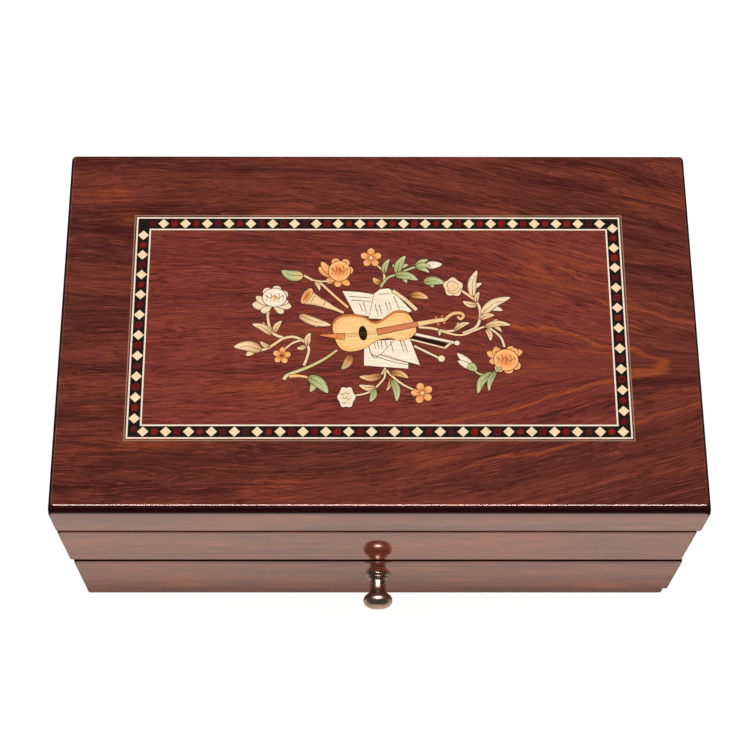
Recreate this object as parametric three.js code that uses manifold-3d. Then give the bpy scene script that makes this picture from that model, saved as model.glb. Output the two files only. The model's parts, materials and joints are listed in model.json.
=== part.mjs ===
// A cylinder music box in a lacquered jewellery case: hinged lid, upper tray, drawer and movement.
// Millimetres, +Z up. The origin is the centre of the underside, the drawer's knob points to -Y.
import * as THREE from "three";
import { mergeVertices } from "three/addons/utils/BufferGeometryUtils.js";
import Module from "manifold-3d";

const wasm = await Module();
wasm.setup();

// ---- Driving dimensions: outside of the case ----
const CASE_WIDTH = 253.2;
const CASE_DEPTH = 153.6;
const LID_WIDTH = 254;
const LID_DEPTH = 154.2;
const LID_SHIFT = 0.6; // the lid is hung a little to the right of the case
const BASE_WIDTH = 251.6;
const BASE_DEPTH = 153;
const FRONT_SHIFT = 0.9; // so is the drawer's front board

// ---- Levels above the surface that the box stands on ----
const FELT_TOP = 0.8;
const BASE_TOP = 7.7;
const DRAWER_FRONT_BOTTOM = 8.1;
const DRAWER_FRONT_TOP = 48.8;
const CASE_FRONT_BOTTOM = 51;
const TRAY_FLOOR_TOP = 55;
const TRAY_WALL_TOP = 85.5;
const CASE_TOP = 88.9;
const LID_BOTTOM = 90.5;
const LID_TOP = 117;

// ---- Board thicknesses ----
const WALL = 10;
const BACK = 8;
const LID_PANEL = 6;
const TRAY_WALL = 3;
const VENEER = 0.6;
const FELT_INSET = 4;
const FIT = 0.3; // clearance round linings and loose panels
const PAST = 1; // how far a cutting tool runs past the face that it cuts

// ---- Inlay on the lid ----
const BAND_INSET = 28.9;
const BAND_WIDTH = 5.9;

// ---- Lid lining and mirror ----
const LID_LINING = 3;
const MIRROR = { width: 196, depth: 98, thickness: 2 };

// ---- Tray ----
const LINING = 2;
const LONG_WALL_Y = 6; // front face of the wall across the tray
const REAR_WALL_X = 21; // left face of the movement compartment's wall
const RING_WALL_X = -27; // left face of the wall beside the ring rolls
const RING_ROLLS = 4;
const RING_ROLL_HEIGHT = 15;
const RING_ROLL_GAP = 0.5;
const WINDOW = 2;
const WINDOW_NOTCH = { half: 1.5, depth: 2.4 };

// ---- Drawer ----
const DRAWER_TRAVEL = 90;
const DRAWER_FRONT = 9.5;
const DRAWER_SIDE = 6;
const DRAWER_HALF = 115.6;
const DRAWER_BACK_Y = 56;
const DRAWER_BOTTOM_Z = 9.5;
const DRAWER_TOP_Z = 44;
const DRAWER_PANEL = { bottom: 11.5, top: 14.5 };
const DRAWER_DIVIDER = { x: 38, top: 36 };
const RUNNER = { inner: 104, top: 9.2, from: -64, to: 66 };
const STOP = { half: 20, bottom: 40, thickness: 5 };
const KNOB_Z = 29.6;
const KNOB_SCREW = { shank: 1.8, hole: 2.2, depth: 8, head: 4, headHeight: 2.2 };

// The turned mushroom knob: [radius, distance out from the drawer's front].
const KNOB = [
  [0, 0],
  [5.45, 0],
  [5.45, 0.9],
  [4.6, 1.9],
  [3.7, 3],
  [3.4, 5],
  [3.4, 7.2],
  [4.2, 8.6],
  [5.6, 9.7],
  [6.1, 11],
  [6, 12.2],
  [5.2, 13.4],
  [3.4, 14.3],
  [0, 14.7],
];

// ---- Hinges ----
const HINGE = {
  places: { left: -78, right: 78 },
  y: 79.4,
  z: 89.7,
  width: 30,
  leaf: 0.65,
  from: 69.5,
  to: 76.9,
  knuckle: 1.9,
  bore: 1.08,
  pin: 0.9,
  middle: 10,
};

// ---- Movement: arbors parallel to Y, all at one height, in mesh at rest ----
const GEAR_MODULE = 0.5;
const ADDENDUM = 0.75;
const DEDENDUM = 1.1;
const TOOTH = { rootHalf: 0.27, tipHalf: 0.1 }; // shares of the angle from tooth to tooth
const BARREL_TEETH = 48;
const CYLINDER_PINION_TEETH = 16;
const CYLINDER_WHEEL_TEETH = 40;
const TRAIN_PINION_TEETH = 12;
const WORM_WHEEL_TEETH = 18;
const ARBOR_Z = 71;
const BARREL_X = 54;
const CYLINDER_X = BARREL_X + meshDistance(BARREL_TEETH, CYLINDER_PINION_TEETH);
const TRAIN_X = CYLINDER_X + meshDistance(CYLINDER_WHEEL_TEETH, TRAIN_PINION_TEETH);
const BEDPLATE = { from: [38, 10.5], to: [103, 67], thickness: 2.5 };
const BED_TOP = TRAY_FLOOR_TOP + BEDPLATE.thickness;
const BARREL = { radius: 11, wall: 1, from: 50, to: 63.5, bore: 2.35 };
const BARREL_POST = { half: 4, from: 44.8, to: 46.4 };
const BARREL_BRIDGE = { half: 5, from: 64.4, to: 66.2 };
const MAINSPRING = { turns: 5, steps: 90, inner: 3.2, outerGap: 0.8, strip: 0.4, endGap: 1 };
const GREAT_WHEEL = [47.5, 50.2];
const KEY_ARBOR = { radius: 2, from: 44.2 };
const KEY = { from: 77.4, neck: 84, lobeY: 89, lobeX: 6.4, lobe: 5.6, hole: 2.4, thickness: 2.4 };
const KEY_COLLAR = { radius: 3.4, length: 1.5, taper: 1, neck: 2.8, overlap: 2, neckEnd: 3.5 };
const CYLINDER = { radius: 6.5, from: 20, to: 44, shaft: 1, shaftFrom: 11.6, shaftTo: 53.4 };
const CYLINDER_PINION = [47.3, 50.4];
const CYLINDER_WHEEL = [16.2, 18.2];
const CYLINDER_POST = { half: 3.6, from: 51.2, to: 53 };
const TRAIN = { shaft: 1, from: 11.6, to: 31.4, pinion: [15.8, 18.6], wormWheel: [24, 26] };
const WORM = { radius: 1.8, from: 66, to: 76, arbor: 0.8, bottom: 60.6, top: 84.6, clearance: 0.3 };
const WORM_Y = (TRAIN.wormWheel[0] + TRAIN.wormWheel[1]) / 2;
const WORM_X = TRAIN_X + tipRadius(WORM_WHEEL_TEETH) + WORM.clearance + WORM.radius;
const FLY = { reach: 6, thickness: 0.5, from: 77, to: 82 };
const BEARING = 1.25; // bearing holes of the small arbors
const TRAIN_POST = { half: 3.2, from: 29, to: 31 };
const TRAIN_BRIDGE = { margin: 4, from: 12, to: 14 };
const GOVERNOR_BRIDGE = { flyGap: 1.5, reach: 2.2, arm: 1.5, back: 2, half: 2.5, pivot: 1.05 };
const GOVERNOR_ARMS = { low: 0.2, top: 1.2 }; // how far below the ends of the worm's arbor
const COMB = { from: 42, root: 51, teeth: 18, y: 21, pitch: 1.22, gap: 0.32, thickness: 1 };
const COMB_TIP_GAP = 0.9;
const COMB_RISER_GAP = 1;
const COMB_SCREW = { x: 46.5, head: 2.2, headHeight: 1.3, shank: 1.1, hole: 1.4, depth: 5 };
const STOP_WIRE = { radius: 0.7, y: 67.8, z: 79.6, top: 90.3, corner: 4, flyGap: 0.5 };

// ---- Segments of a turned piece, or of a curve in an outline ----
const FINE = 32;
const KNOB_SEGMENTS = 24;
const COARSE = 16;
const SMALL = 12;
const ROLL_SEGMENTS = 10;
const TINY = 8;
const WIRE_SEGMENTS = 4;
const WIRE_STEPS = 24;

const material = (color, roughness, metalness = 0) =>
  new THREE.MeshStandardMaterial({ color, roughness, metalness });

const rosewood = material(0x5a2018, 0.2);
const rawWood = material(0xb98d5c, 0.6);
const inlayWood = material(0xe8d6ae, 0.3);
const velvet = material(0x6f1420, 0.95);
const felt = material(0x1f3a2a, 1);
const nickel = material(0x9a8878, 0.35, 1);
const brass = material(0xb98f45, 0.3, 1);
const steel = material(0xa9acb0, 0.3, 1);
const castMetal = material(0x8f9092, 0.5, 1);
const mirrorGlass = material(0xdfe5e8, 0.05, 1);
const clearPlastic = material(0xe9eef0, 0.1);

// ---- Gear arithmetic ----
function pitchRadius(teeth) {
  return (teeth * GEAR_MODULE) / 2;
}

function tipRadius(teeth) {
  return pitchRadius(teeth) + ADDENDUM * GEAR_MODULE;
}

function meshDistance(teeth, otherTeeth) {
  return pitchRadius(teeth) + pitchRadius(otherTeeth);
}

// ---- Making and placing solids ----
function block(low, high) {
  const size = high.map((value, i) => value - low[i]);
  const centre = high.map((value, i) => (value + low[i]) / 2);
  return new THREE.BoxGeometry(...size).translate(...centre);
}

// An outline in X and Z, extruded from y0 to y1.
function alongY(shape, y0, y1, curveSegments = COARSE) {
  const geometry = new THREE.ExtrudeGeometry(shape, {
    depth: y1 - y0,
    bevelEnabled: false,
    curveSegments,
  });
  return geometry.rotateX(Math.PI / 2).translate(0, y1, 0);
}

// An outline in X and Y, extruded from z0 to z1.
function alongZ(shape, z0, z1, curveSegments = COARSE) {
  const geometry = new THREE.ExtrudeGeometry(shape, {
    depth: z1 - z0,
    bevelEnabled: false,
    curveSegments,
  });
  return geometry.translate(0, 0, z0);
}

function rodY(x, z, radius, y0, y1, segments = COARSE) {
  const geometry = new THREE.CylinderGeometry(radius, radius, y1 - y0, segments);
  return geometry.translate(x, (y0 + y1) / 2, z);
}

function rodZ(x, y, radius, z0, z1, segments = COARSE) {
  const geometry = new THREE.CylinderGeometry(radius, radius, z1 - z0, segments);
  return geometry.rotateX(Math.PI / 2).translate(x, y, (z0 + z1) / 2);
}

function rodX(y, z, radius, x0, x1, segments = COARSE) {
  const geometry = new THREE.CylinderGeometry(radius, radius, x1 - x0, segments);
  return geometry.rotateZ(Math.PI / 2).translate((x0 + x1) / 2, y, z);
}

// A profile of [radius, distance] pairs turned about a line parallel to Y.
function turned(profile, x, z, segments = FINE) {
  const points = profile.map(([radius, y]) => new THREE.Vector2(radius, y));
  return new THREE.LatheGeometry(points, segments).translate(x, 0, z);
}

function solid(geometry) {
  const plain = new THREE.BufferGeometry();
  plain.setAttribute("position", geometry.getAttribute("position"));
  plain.setIndex(geometry.index);
  const merged = mergeVertices(plain, 1e-4);
  return new wasm.Manifold(
    new wasm.Mesh({
      numProp: 3,
      vertProperties: merged.getAttribute("position").array,
      triVerts: new Uint32Array(merged.index.array),
    }),
  );
}

function geometryOf(manifold) {
  const { vertProperties, triVerts } = manifold.getMesh();
  const geometry = new THREE.BufferGeometry();
  geometry.setAttribute("position", new THREE.BufferAttribute(vertProperties, 3));
  geometry.setIndex(new THREE.BufferAttribute(triVerts, 1));
  geometry.computeVertexNormals();
  return geometry;
}

function join(...geometries) {
  return geometryOf(geometries.map(solid).reduce((sum, piece) => sum.add(piece)));
}

function cut(geometry, ...tools) {
  return geometryOf(tools.map(solid).reduce((left, tool) => left.subtract(tool), solid(geometry)));
}

function part(name, look, geometry) {
  const mesh = new THREE.Mesh(geometry, look);
  mesh.name = name;
  return mesh;
}

function board(name, look, low, high) {
  return part(name, look, block(low, high));
}

function circle(x, y, radius) {
  const path = new THREE.Shape();
  path.absarc(x, y, radius, 0, 2 * Math.PI);
  return path;
}

function rectangle(x0, x1, y0, y1) {
  const shape = new THREE.Shape();
  shape.moveTo(x0, y0);
  shape.lineTo(x1, y0);
  shape.lineTo(x1, y1);
  shape.lineTo(x0, y1);
  shape.closePath();
  return shape;
}

// Tapered teeth round a root circle; a tooth or, with turn = 0.5, a gap faces +X.
function gearShape(teeth, x, z, turn = 0) {
  const root = pitchRadius(teeth) - DEDENDUM * GEAR_MODULE;
  const tip = tipRadius(teeth);
  const corners = [
    [root, -TOOTH.rootHalf],
    [tip, -TOOTH.tipHalf],
    [tip, TOOTH.tipHalf],
    [root, TOOTH.rootHalf],
  ];
  const shape = new THREE.Shape();
  for (let tooth = 0; tooth < teeth; tooth++) {
    for (const [radius, offset] of corners) {
      const angle = (2 * Math.PI * (tooth + turn + offset)) / teeth;
      const point = [x + radius * Math.cos(angle), z + radius * Math.sin(angle)];
      if (tooth === 0 && offset === corners[0][1]) shape.moveTo(...point);
      else shape.lineTo(...point);
    }
  }
  shape.closePath();
  return shape;
}

// ---- Case ----
const halfCase = CASE_WIDTH / 2;
const caseFront = -CASE_DEPTH / 2;
const caseBack = CASE_DEPTH / 2;
const innerHalf = halfCase - WALL;
const innerFront = caseFront + WALL;
const innerBack = caseBack - BACK;

function base() {
  const x = BASE_WIDTH / 2;
  const y = BASE_DEPTH / 2;
  const feltX = x - FELT_INSET;
  const feltY = y - FELT_INSET;
  return [
    board("base_plinth", rosewood, [-x, -y, FELT_TOP], [x, y, BASE_TOP]),
    board("base_felt", felt, [-feltX, -feltY, 0], [feltX, feltY, FELT_TOP]),
  ];
}

function carcass() {
  const keyHole = rodY(BARREL_X, ARBOR_Z, BARREL.bore, innerBack - PAST, caseBack + PAST);
  const back = block([-innerHalf, innerBack, BASE_TOP], [innerHalf, caseBack, CASE_TOP]);
  return [
    board(
      "case_left_side",
      rosewood,
      [-halfCase, innerFront, BASE_TOP],
      [-innerHalf, caseBack, CASE_TOP],
    ),
    board(
      "case_right_side",
      rosewood,
      [innerHalf, innerFront, BASE_TOP],
      [halfCase, caseBack, CASE_TOP],
    ),
    board(
      "case_front_panel",
      rosewood,
      [-halfCase, caseFront, CASE_FRONT_BOTTOM],
      [halfCase, innerFront, CASE_TOP],
    ),
    part("case_back_panel", rosewood, cut(back, keyHole)),
    board(
      "tray_floor",
      rawWood,
      [-innerHalf, innerFront, CASE_FRONT_BOTTOM],
      [innerHalf, innerBack, TRAY_FLOOR_TOP],
    ),
  ];
}

function drawerRunners() {
  const outer = innerHalf - FIT;
  const stopBack = DRAWER_BACK_Y - DRAWER_SIDE - DRAWER_TRAVEL - FIT;
  const stopLow = [-STOP.half, stopBack - STOP.thickness, STOP.bottom];
  return [
    board(
      "drawer_runner_left",
      rawWood,
      [-outer, RUNNER.from, BASE_TOP],
      [-RUNNER.inner, RUNNER.to, RUNNER.top],
    ),
    board(
      "drawer_runner_right",
      rawWood,
      [RUNNER.inner, RUNNER.from, BASE_TOP],
      [outer, RUNNER.to, RUNNER.top],
    ),
    board("drawer_stop", rawWood, stopLow, [STOP.half, stopBack, CASE_FRONT_BOTTOM]),
  ];
}

// ---- Tray of the upper compartment ----
function trayWalls() {
  const longBack = LONG_WALL_Y + TRAY_WALL;
  const wall = (name, x0, x1, y0, y1) =>
    board(name, velvet, [x0, y0, TRAY_FLOOR_TOP], [x1, y1, TRAY_WALL_TOP]);
  return [
    wall("tray_wall_long", -innerHalf, innerHalf, LONG_WALL_Y, longBack),
    wall("tray_wall_movement", REAR_WALL_X, REAR_WALL_X + TRAY_WALL, longBack, innerBack),
    wall("tray_wall_rings", RING_WALL_X, RING_WALL_X + TRAY_WALL, innerFront, LONG_WALL_Y),
  ];
}

function trayLinings() {
  const top = TRAY_FLOOR_TOP + LINING;
  const rearLow = [-innerHalf + FIT, LONG_WALL_Y + TRAY_WALL + FIT, TRAY_FLOOR_TOP];
  const frontLow = [RING_WALL_X + TRAY_WALL + FIT, innerFront + FIT, TRAY_FLOOR_TOP];
  return [
    board("lining_rear", velvet, rearLow, [REAR_WALL_X - FIT, innerBack - FIT, top]),
    board("lining_front", velvet, frontLow, [innerHalf - FIT, LONG_WALL_Y - FIT, top]),
  ];
}

// A row of padded rolls, flat below and round above, that grip rings between them.
function ringRolls() {
  const front = innerFront + FIT;
  const pitch = (LONG_WALL_Y - FIT - front) / RING_ROLLS;
  const half = (pitch - RING_ROLL_GAP) / 2;
  const straight = RING_ROLL_HEIGHT - half;
  const rolls = [];
  for (let i = 0; i < RING_ROLLS; i++) {
    const outline = new THREE.Shape();
    outline.moveTo(-half, 0);
    outline.lineTo(half, 0);
    outline.lineTo(half, straight);
    outline.absarc(0, straight, half, 0, Math.PI);
    outline.closePath();
    const geometry = new THREE.ExtrudeGeometry(outline, {
      depth: RING_WALL_X - FIT - (-innerHalf + FIT),
      bevelEnabled: false,
      curveSegments: ROLL_SEGMENTS,
    });
    geometry.rotateX(Math.PI / 2).rotateZ(Math.PI / 2);
    geometry.translate(-innerHalf + FIT, front + (i + 0.5) * pitch, TRAY_FLOOR_TOP);
    rolls.push(part(`ring_roll_${i + 1}`, velvet, geometry));
  }
  return rolls;
}

function movementWindow() {
  const right = innerHalf - FIT;
  const rear = innerBack - FIT;
  const notchFront = rear - WINDOW_NOTCH.depth;
  const pane = new THREE.Shape();
  pane.moveTo(REAR_WALL_X, LONG_WALL_Y);
  pane.lineTo(right, LONG_WALL_Y);
  pane.lineTo(right, rear);
  pane.lineTo(WORM_X + WINDOW_NOTCH.half, rear);
  pane.lineTo(WORM_X + WINDOW_NOTCH.half, notchFront);
  pane.lineTo(WORM_X - WINDOW_NOTCH.half, notchFront);
  pane.lineTo(WORM_X - WINDOW_NOTCH.half, rear);
  pane.lineTo(REAR_WALL_X, rear);
  pane.closePath();
  const sheet = alongZ(pane, TRAY_WALL_TOP, TRAY_WALL_TOP + WINDOW);
  return [part("movement_window", clearPlastic, sheet)];
}

// ---- Lid ----
const lidLeft = LID_SHIFT - LID_WIDTH / 2;
const lidRight = LID_SHIFT + LID_WIDTH / 2;
const lidY = LID_DEPTH / 2;
const lidPanelBottom = LID_TOP - LID_PANEL;

// Half sizes of the banding's outer edge, and of the field inside it.
const bandX = LID_WIDTH / 2 - BAND_INSET;
const bandY = lidY - BAND_INSET;
const fieldX = bandX - BAND_WIDTH;
const fieldY = bandY - BAND_WIDTH;

function lidPanel() {
  const recess = block(
    [LID_SHIFT - bandX, -bandY, LID_TOP - VENEER],
    [LID_SHIFT + bandX, bandY, LID_TOP + PAST],
  );
  const panel = block([lidLeft, -lidY, lidPanelBottom], [lidRight, lidY, LID_TOP]);
  const ring = rectangle(LID_SHIFT - bandX, LID_SHIFT + bandX, -bandY, bandY);
  ring.holes.push(rectangle(LID_SHIFT - fieldX, LID_SHIFT + fieldX, -fieldY, fieldY));
  const field = block(
    [LID_SHIFT - fieldX, -fieldY, LID_TOP - VENEER],
    [LID_SHIFT + fieldX, fieldY, LID_TOP],
  );
  return [
    part("lid_panel", rosewood, cut(panel, recess)),
    part("inlay_banding", inlayWood, alongZ(ring, LID_TOP - VENEER, LID_TOP)),
    part("marquetry_field", rosewood, field),
  ];
}

function lidRails() {
  const rail = (name, x0, x1, y0, y1) =>
    board(name, rosewood, [x0, y0, LID_BOTTOM], [x1, y1, lidPanelBottom]);
  return [
    rail("lid_front_rail", lidLeft, lidRight, -lidY, -lidY + WALL),
    rail("lid_back_rail", lidLeft, lidRight, lidY - WALL, lidY),
    rail("lid_left_rail", lidLeft, lidLeft + WALL, -lidY + WALL, lidY - WALL),
    rail("lid_right_rail", lidRight - WALL, lidRight, -lidY + WALL, lidY - WALL),
  ];
}

function lidInside() {
  const liningX = LID_WIDTH / 2 - WALL - FIT;
  const liningY = lidY - WALL - FIT;
  const liningBottom = lidPanelBottom - LID_LINING;
  const mirrorX = MIRROR.width / 2;
  const mirrorY = MIRROR.depth / 2;
  return [
    board(
      "lid_lining",
      velvet,
      [LID_SHIFT - liningX, -liningY, liningBottom],
      [LID_SHIFT + liningX, liningY, lidPanelBottom],
    ),
    board(
      "lid_mirror",
      mirrorGlass,
      [LID_SHIFT - mirrorX, -mirrorY, liningBottom - MIRROR.thickness],
      [LID_SHIFT + mirrorX, mirrorY, liningBottom],
    ),
  ];
}

// ---- Hinges: leaves let into the seam, knuckles behind the case ----
function hingeKnuckle(x0, x1, leafLow, leafHigh) {
  const tab = block([x0, HINGE.to - PAST, leafLow], [x1, HINGE.y - HINGE.bore - FIT, leafHigh]);
  return join(rodX(HINGE.y, HINGE.z, HINGE.knuckle, x0, x1), tab);
}

function hinge(side) {
  const x = HINGE.places[side];
  const left = x - HINGE.width / 2;
  const right = x + HINGE.width / 2;
  const bore = rodX(HINGE.y, HINGE.z, HINGE.bore, left - PAST, right + PAST);
  const outer = (HINGE.width - HINGE.middle) / 2 - FIT;
  const caseLow = CASE_TOP;
  const caseHigh = CASE_TOP + HINGE.leaf;
  const lidLow = LID_BOTTOM - HINGE.leaf;
  const lidHigh = LID_BOTTOM;
  const caseLeaf = join(
    block([left, HINGE.from, caseLow], [right, HINGE.to, caseHigh]),
    hingeKnuckle(left, left + outer, caseLow, caseHigh),
    hingeKnuckle(right - outer, right, caseLow, caseHigh),
  );
  const lidLeaf = join(
    block([left, HINGE.from, lidLow], [right, HINGE.to, lidHigh]),
    hingeKnuckle(x - HINGE.middle / 2, x + HINGE.middle / 2, lidLow, lidHigh),
  );
  return [
    part(`hinge_${side}_case_leaf`, brass, cut(caseLeaf, bore)),
    part(`hinge_${side}_lid_leaf`, brass, cut(lidLeaf, bore)),
    part(`hinge_${side}_pin`, brass, rodX(HINGE.y, HINGE.z, HINGE.pin, left, right)),
  ];
}

// ---- Drawer ----
const drawerFrontBack = caseFront + DRAWER_FRONT;
const drawerInner = DRAWER_HALF - DRAWER_SIDE;

function drawerBox() {
  const front = block(
    [FRONT_SHIFT - halfCase, caseFront, DRAWER_FRONT_BOTTOM],
    [FRONT_SHIFT + halfCase, drawerFrontBack, DRAWER_FRONT_TOP],
  );
  const screwHole = rodY(
    FRONT_SHIFT,
    KNOB_Z,
    KNOB_SCREW.hole,
    caseFront - PAST,
    drawerFrontBack + PAST,
  );
  const wall = (name, x0, x1, y0) =>
    board(name, rawWood, [x0, y0, DRAWER_BOTTOM_Z], [x1, DRAWER_BACK_Y, DRAWER_TOP_Z]);
  return [
    part("drawer_front", rosewood, cut(front, screwHole)),
    wall("drawer_left_side", -DRAWER_HALF, -drawerInner, drawerFrontBack),
    wall("drawer_right_side", drawerInner, DRAWER_HALF, drawerFrontBack),
    wall("drawer_back", -drawerInner, drawerInner, DRAWER_BACK_Y - DRAWER_SIDE),
  ];
}

function drawerInside() {
  const backFront = DRAWER_BACK_Y - DRAWER_SIDE;
  const liningTop = DRAWER_PANEL.top + LINING;
  const liningX = drawerInner - FIT;
  return [
    board(
      "drawer_bottom",
      rawWood,
      [-drawerInner, drawerFrontBack, DRAWER_PANEL.bottom],
      [drawerInner, backFront, DRAWER_PANEL.top],
    ),
    board(
      "drawer_lining",
      velvet,
      [-liningX, drawerFrontBack + FIT, DRAWER_PANEL.top],
      [liningX, backFront - FIT, liningTop],
    ),
    board(
      "drawer_divider",
      velvet,
      [DRAWER_DIVIDER.x, drawerFrontBack + FIT, liningTop],
      [DRAWER_DIVIDER.x + TRAY_WALL, backFront - FIT, DRAWER_DIVIDER.top],
    ),
  ];
}

function knob() {
  const profile = KNOB.map(([radius, out]) => [radius, caseFront - out]).reverse();
  const body = turned(profile, FRONT_SHIFT, KNOB_Z, KNOB_SEGMENTS);
  const threadEnd = caseFront - KNOB_SCREW.depth - FIT;
  const thread = rodY(FRONT_SHIFT, KNOB_Z, KNOB_SCREW.hole, threadEnd, caseFront + PAST);
  const shank = rodY(
    FRONT_SHIFT,
    KNOB_Z,
    KNOB_SCREW.shank,
    caseFront - KNOB_SCREW.depth,
    drawerFrontBack + KNOB_SCREW.headHeight / 2,
  );
  const head = rodY(
    FRONT_SHIFT,
    KNOB_Z,
    KNOB_SCREW.head,
    drawerFrontBack,
    drawerFrontBack + KNOB_SCREW.headHeight,
  );
  return [
    part("drawer_knob", nickel, cut(body, thread)),
    part("knob_screw", steel, join(shank, head)),
  ];
}

// ---- Movement ----

// A plate standing on the bedplate, with a round head about its bearing hole.
function upright(x, { half, from, to }, hole) {
  const outline = new THREE.Shape();
  outline.moveTo(x - half, BED_TOP);
  outline.lineTo(x + half, BED_TOP);
  outline.lineTo(x + half, ARBOR_Z);
  outline.absarc(x, ARBOR_Z, half, 0, Math.PI);
  outline.closePath();
  outline.holes.push(circle(x, ARBOR_Z, hole));
  return alongY(outline, from, to, TINY);
}

// The cast bedplate, with the uprights that are cast in one with it.
function movementFrame() {
  const [x0, y0] = BEDPLATE.from;
  const [x1, y1] = BEDPLATE.to;
  const plate = block([x0, y0, TRAY_FLOOR_TOP], [x1, y1, BED_TOP]);
  return part(
    "movement_frame",
    castMetal,
    join(
      plate,
      upright(BARREL_X, BARREL_POST, BARREL.bore),
      upright(CYLINDER_X, CYLINDER_POST, BEARING),
      upright(TRAIN_X, TRAIN_POST, BEARING),
    ),
  );
}

function barrelBridge() {
  return part("barrel_bridge", brass, upright(BARREL_X, BARREL_BRIDGE, BARREL.bore));
}

// One front bridge carries the cylinder's arbor and the train's.
function trainBridge() {
  const { margin, from, to } = TRAIN_BRIDGE;
  const outline = rectangle(CYLINDER_X - margin, TRAIN_X + margin, BED_TOP, ARBOR_Z + margin);
  outline.holes.push(circle(CYLINDER_X, ARBOR_Z, BEARING));
  outline.holes.push(circle(TRAIN_X, ARBOR_Z, BEARING));
  return part("train_bridge", brass, alongY(outline, from, to, TINY));
}

// A C-shaped bridge that holds the governor's upright arbor by its two ends.
function governorBridge() {
  const { flyGap, reach, arm, half, pivot } = GOVERNOR_BRIDGE;
  const back = WORM_X + FLY.reach + flyGap;
  const outside = back + GOVERNOR_BRIDGE.back;
  const tip = WORM_X - reach;
  const lowArm = WORM.bottom - GOVERNOR_ARMS.low;
  const topArm = WORM.top - GOVERNOR_ARMS.top;
  const outline = new THREE.Shape();
  outline.moveTo(back, BED_TOP);
  outline.lineTo(outside, BED_TOP);
  outline.lineTo(outside, topArm + arm);
  outline.lineTo(tip, topArm + arm);
  outline.lineTo(tip, topArm);
  outline.lineTo(back, topArm);
  outline.lineTo(back, lowArm + arm);
  outline.lineTo(tip, lowArm + arm);
  outline.lineTo(tip, lowArm);
  outline.lineTo(back, lowArm);
  outline.closePath();
  const bracket = alongY(outline, WORM_Y - half, WORM_Y + half);
  const pivots = rodZ(WORM_X, WORM_Y, pivot, lowArm - PAST, topArm + arm + PAST);
  return part("governor_bridge", brass, cut(bracket, pivots));
}

function springBarrel() {
  const { radius, wall, from, to, bore } = BARREL;
  const drum = turned(
    [
      [bore, from],
      [radius, from],
      [radius, to],
      [radius - wall, to],
      [radius - wall, from + wall],
      [bore, from + wall],
      [bore, from],
    ],
    BARREL_X,
    ARBOR_Z,
  );
  const wheel = gearShape(BARREL_TEETH, BARREL_X, ARBOR_Z);
  wheel.holes.push(circle(BARREL_X, ARBOR_Z, bore));
  return part("spring_barrel", brass, join(drum, alongY(wheel, ...GREAT_WHEEL)));
}

// A flat steel strip wound in a spiral between the arbor and the barrel's wall.
function mainspring() {
  const { turns, steps, inner, outerGap, strip, endGap } = MAINSPRING;
  const outer = BARREL.radius - BARREL.wall - outerGap;
  const at = (i, extra) => {
    const radius = inner + ((outer - inner) * i) / steps + extra;
    const angle = (2 * Math.PI * turns * i) / steps;
    return [BARREL_X + radius * Math.cos(angle), ARBOR_Z + radius * Math.sin(angle)];
  };
  const spiral = new THREE.Shape();
  spiral.moveTo(...at(0, strip));
  for (let i = 1; i <= steps; i++) spiral.lineTo(...at(i, strip));
  for (let i = steps; i >= 0; i--) spiral.lineTo(...at(i, 0));
  spiral.closePath();
  const front = BARREL.from + BARREL.wall + FIT;
  return part("mainspring", steel, alongY(spiral, front, BARREL.to - endGap));
}

function windingKey() {
  const { radius, length, taper, neck, overlap, neckEnd } = KEY_COLLAR;
  const bottom = ARBOR_Z - KEY.thickness / 2;
  const top = ARBOR_Z + KEY.thickness / 2;
  const arbor = rodY(BARREL_X, ARBOR_Z, KEY_ARBOR.radius, KEY_ARBOR.from, KEY.neck);
  const collar = turned(
    [
      [0, KEY.from],
      [radius, KEY.from],
      [radius, KEY.from + length],
      [neck, KEY.from + length + taper],
      [neck, KEY.neck + overlap],
      [0, KEY.neck + overlap],
    ],
    BARREL_X,
    ARBOR_Z,
    COARSE,
  );
  const lobe = (side) => {
    const ring = circle(BARREL_X + side * KEY.lobeX, KEY.lobeY, KEY.lobe);
    ring.holes.push(circle(BARREL_X + side * KEY.lobeX, KEY.lobeY, KEY.hole));
    return alongZ(ring, bottom, top, SMALL);
  };
  const stem = block(
    [BARREL_X - neck, KEY.neck, bottom],
    [BARREL_X + neck, KEY.lobeY + neckEnd, top],
  );
  return part("winding_key", brass, join(arbor, collar, lobe(-1), lobe(1), stem));
}

function musicCylinder() {
  const { radius, from, to, shaft, shaftFrom, shaftTo } = CYLINDER;
  return part(
    "music_cylinder",
    brass,
    join(
      rodY(CYLINDER_X, ARBOR_Z, radius, from, to, FINE),
      rodY(CYLINDER_X, ARBOR_Z, shaft, shaftFrom, shaftTo),
      alongY(gearShape(CYLINDER_PINION_TEETH, CYLINDER_X, ARBOR_Z, 0.5), ...CYLINDER_PINION),
      alongY(gearShape(CYLINDER_WHEEL_TEETH, CYLINDER_X, ARBOR_Z), ...CYLINDER_WHEEL),
    ),
  );
}

function trainWheel() {
  return part(
    "train_wheel",
    brass,
    join(
      rodY(TRAIN_X, ARBOR_Z, TRAIN.shaft, TRAIN.from, TRAIN.to),
      alongY(gearShape(TRAIN_PINION_TEETH, TRAIN_X, ARBOR_Z, 0.5), ...TRAIN.pinion),
      alongY(gearShape(WORM_WHEEL_TEETH, TRAIN_X, ARBOR_Z), ...TRAIN.wormWheel),
    ),
  );
}

// The four-start worm and the air brake that it spins.
function governor() {
  const blades = block(
    [WORM_X - FLY.reach, WORM_Y - FLY.thickness / 2, FLY.from],
    [WORM_X + FLY.reach, WORM_Y + FLY.thickness / 2, FLY.to],
  );
  return part(
    "governor_fly",
    steel,
    join(
      rodZ(WORM_X, WORM_Y, WORM.arbor, WORM.bottom, WORM.top, SMALL),
      rodZ(WORM_X, WORM_Y, WORM.radius, WORM.from, WORM.to),
      blades,
    ),
  );
}

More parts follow.
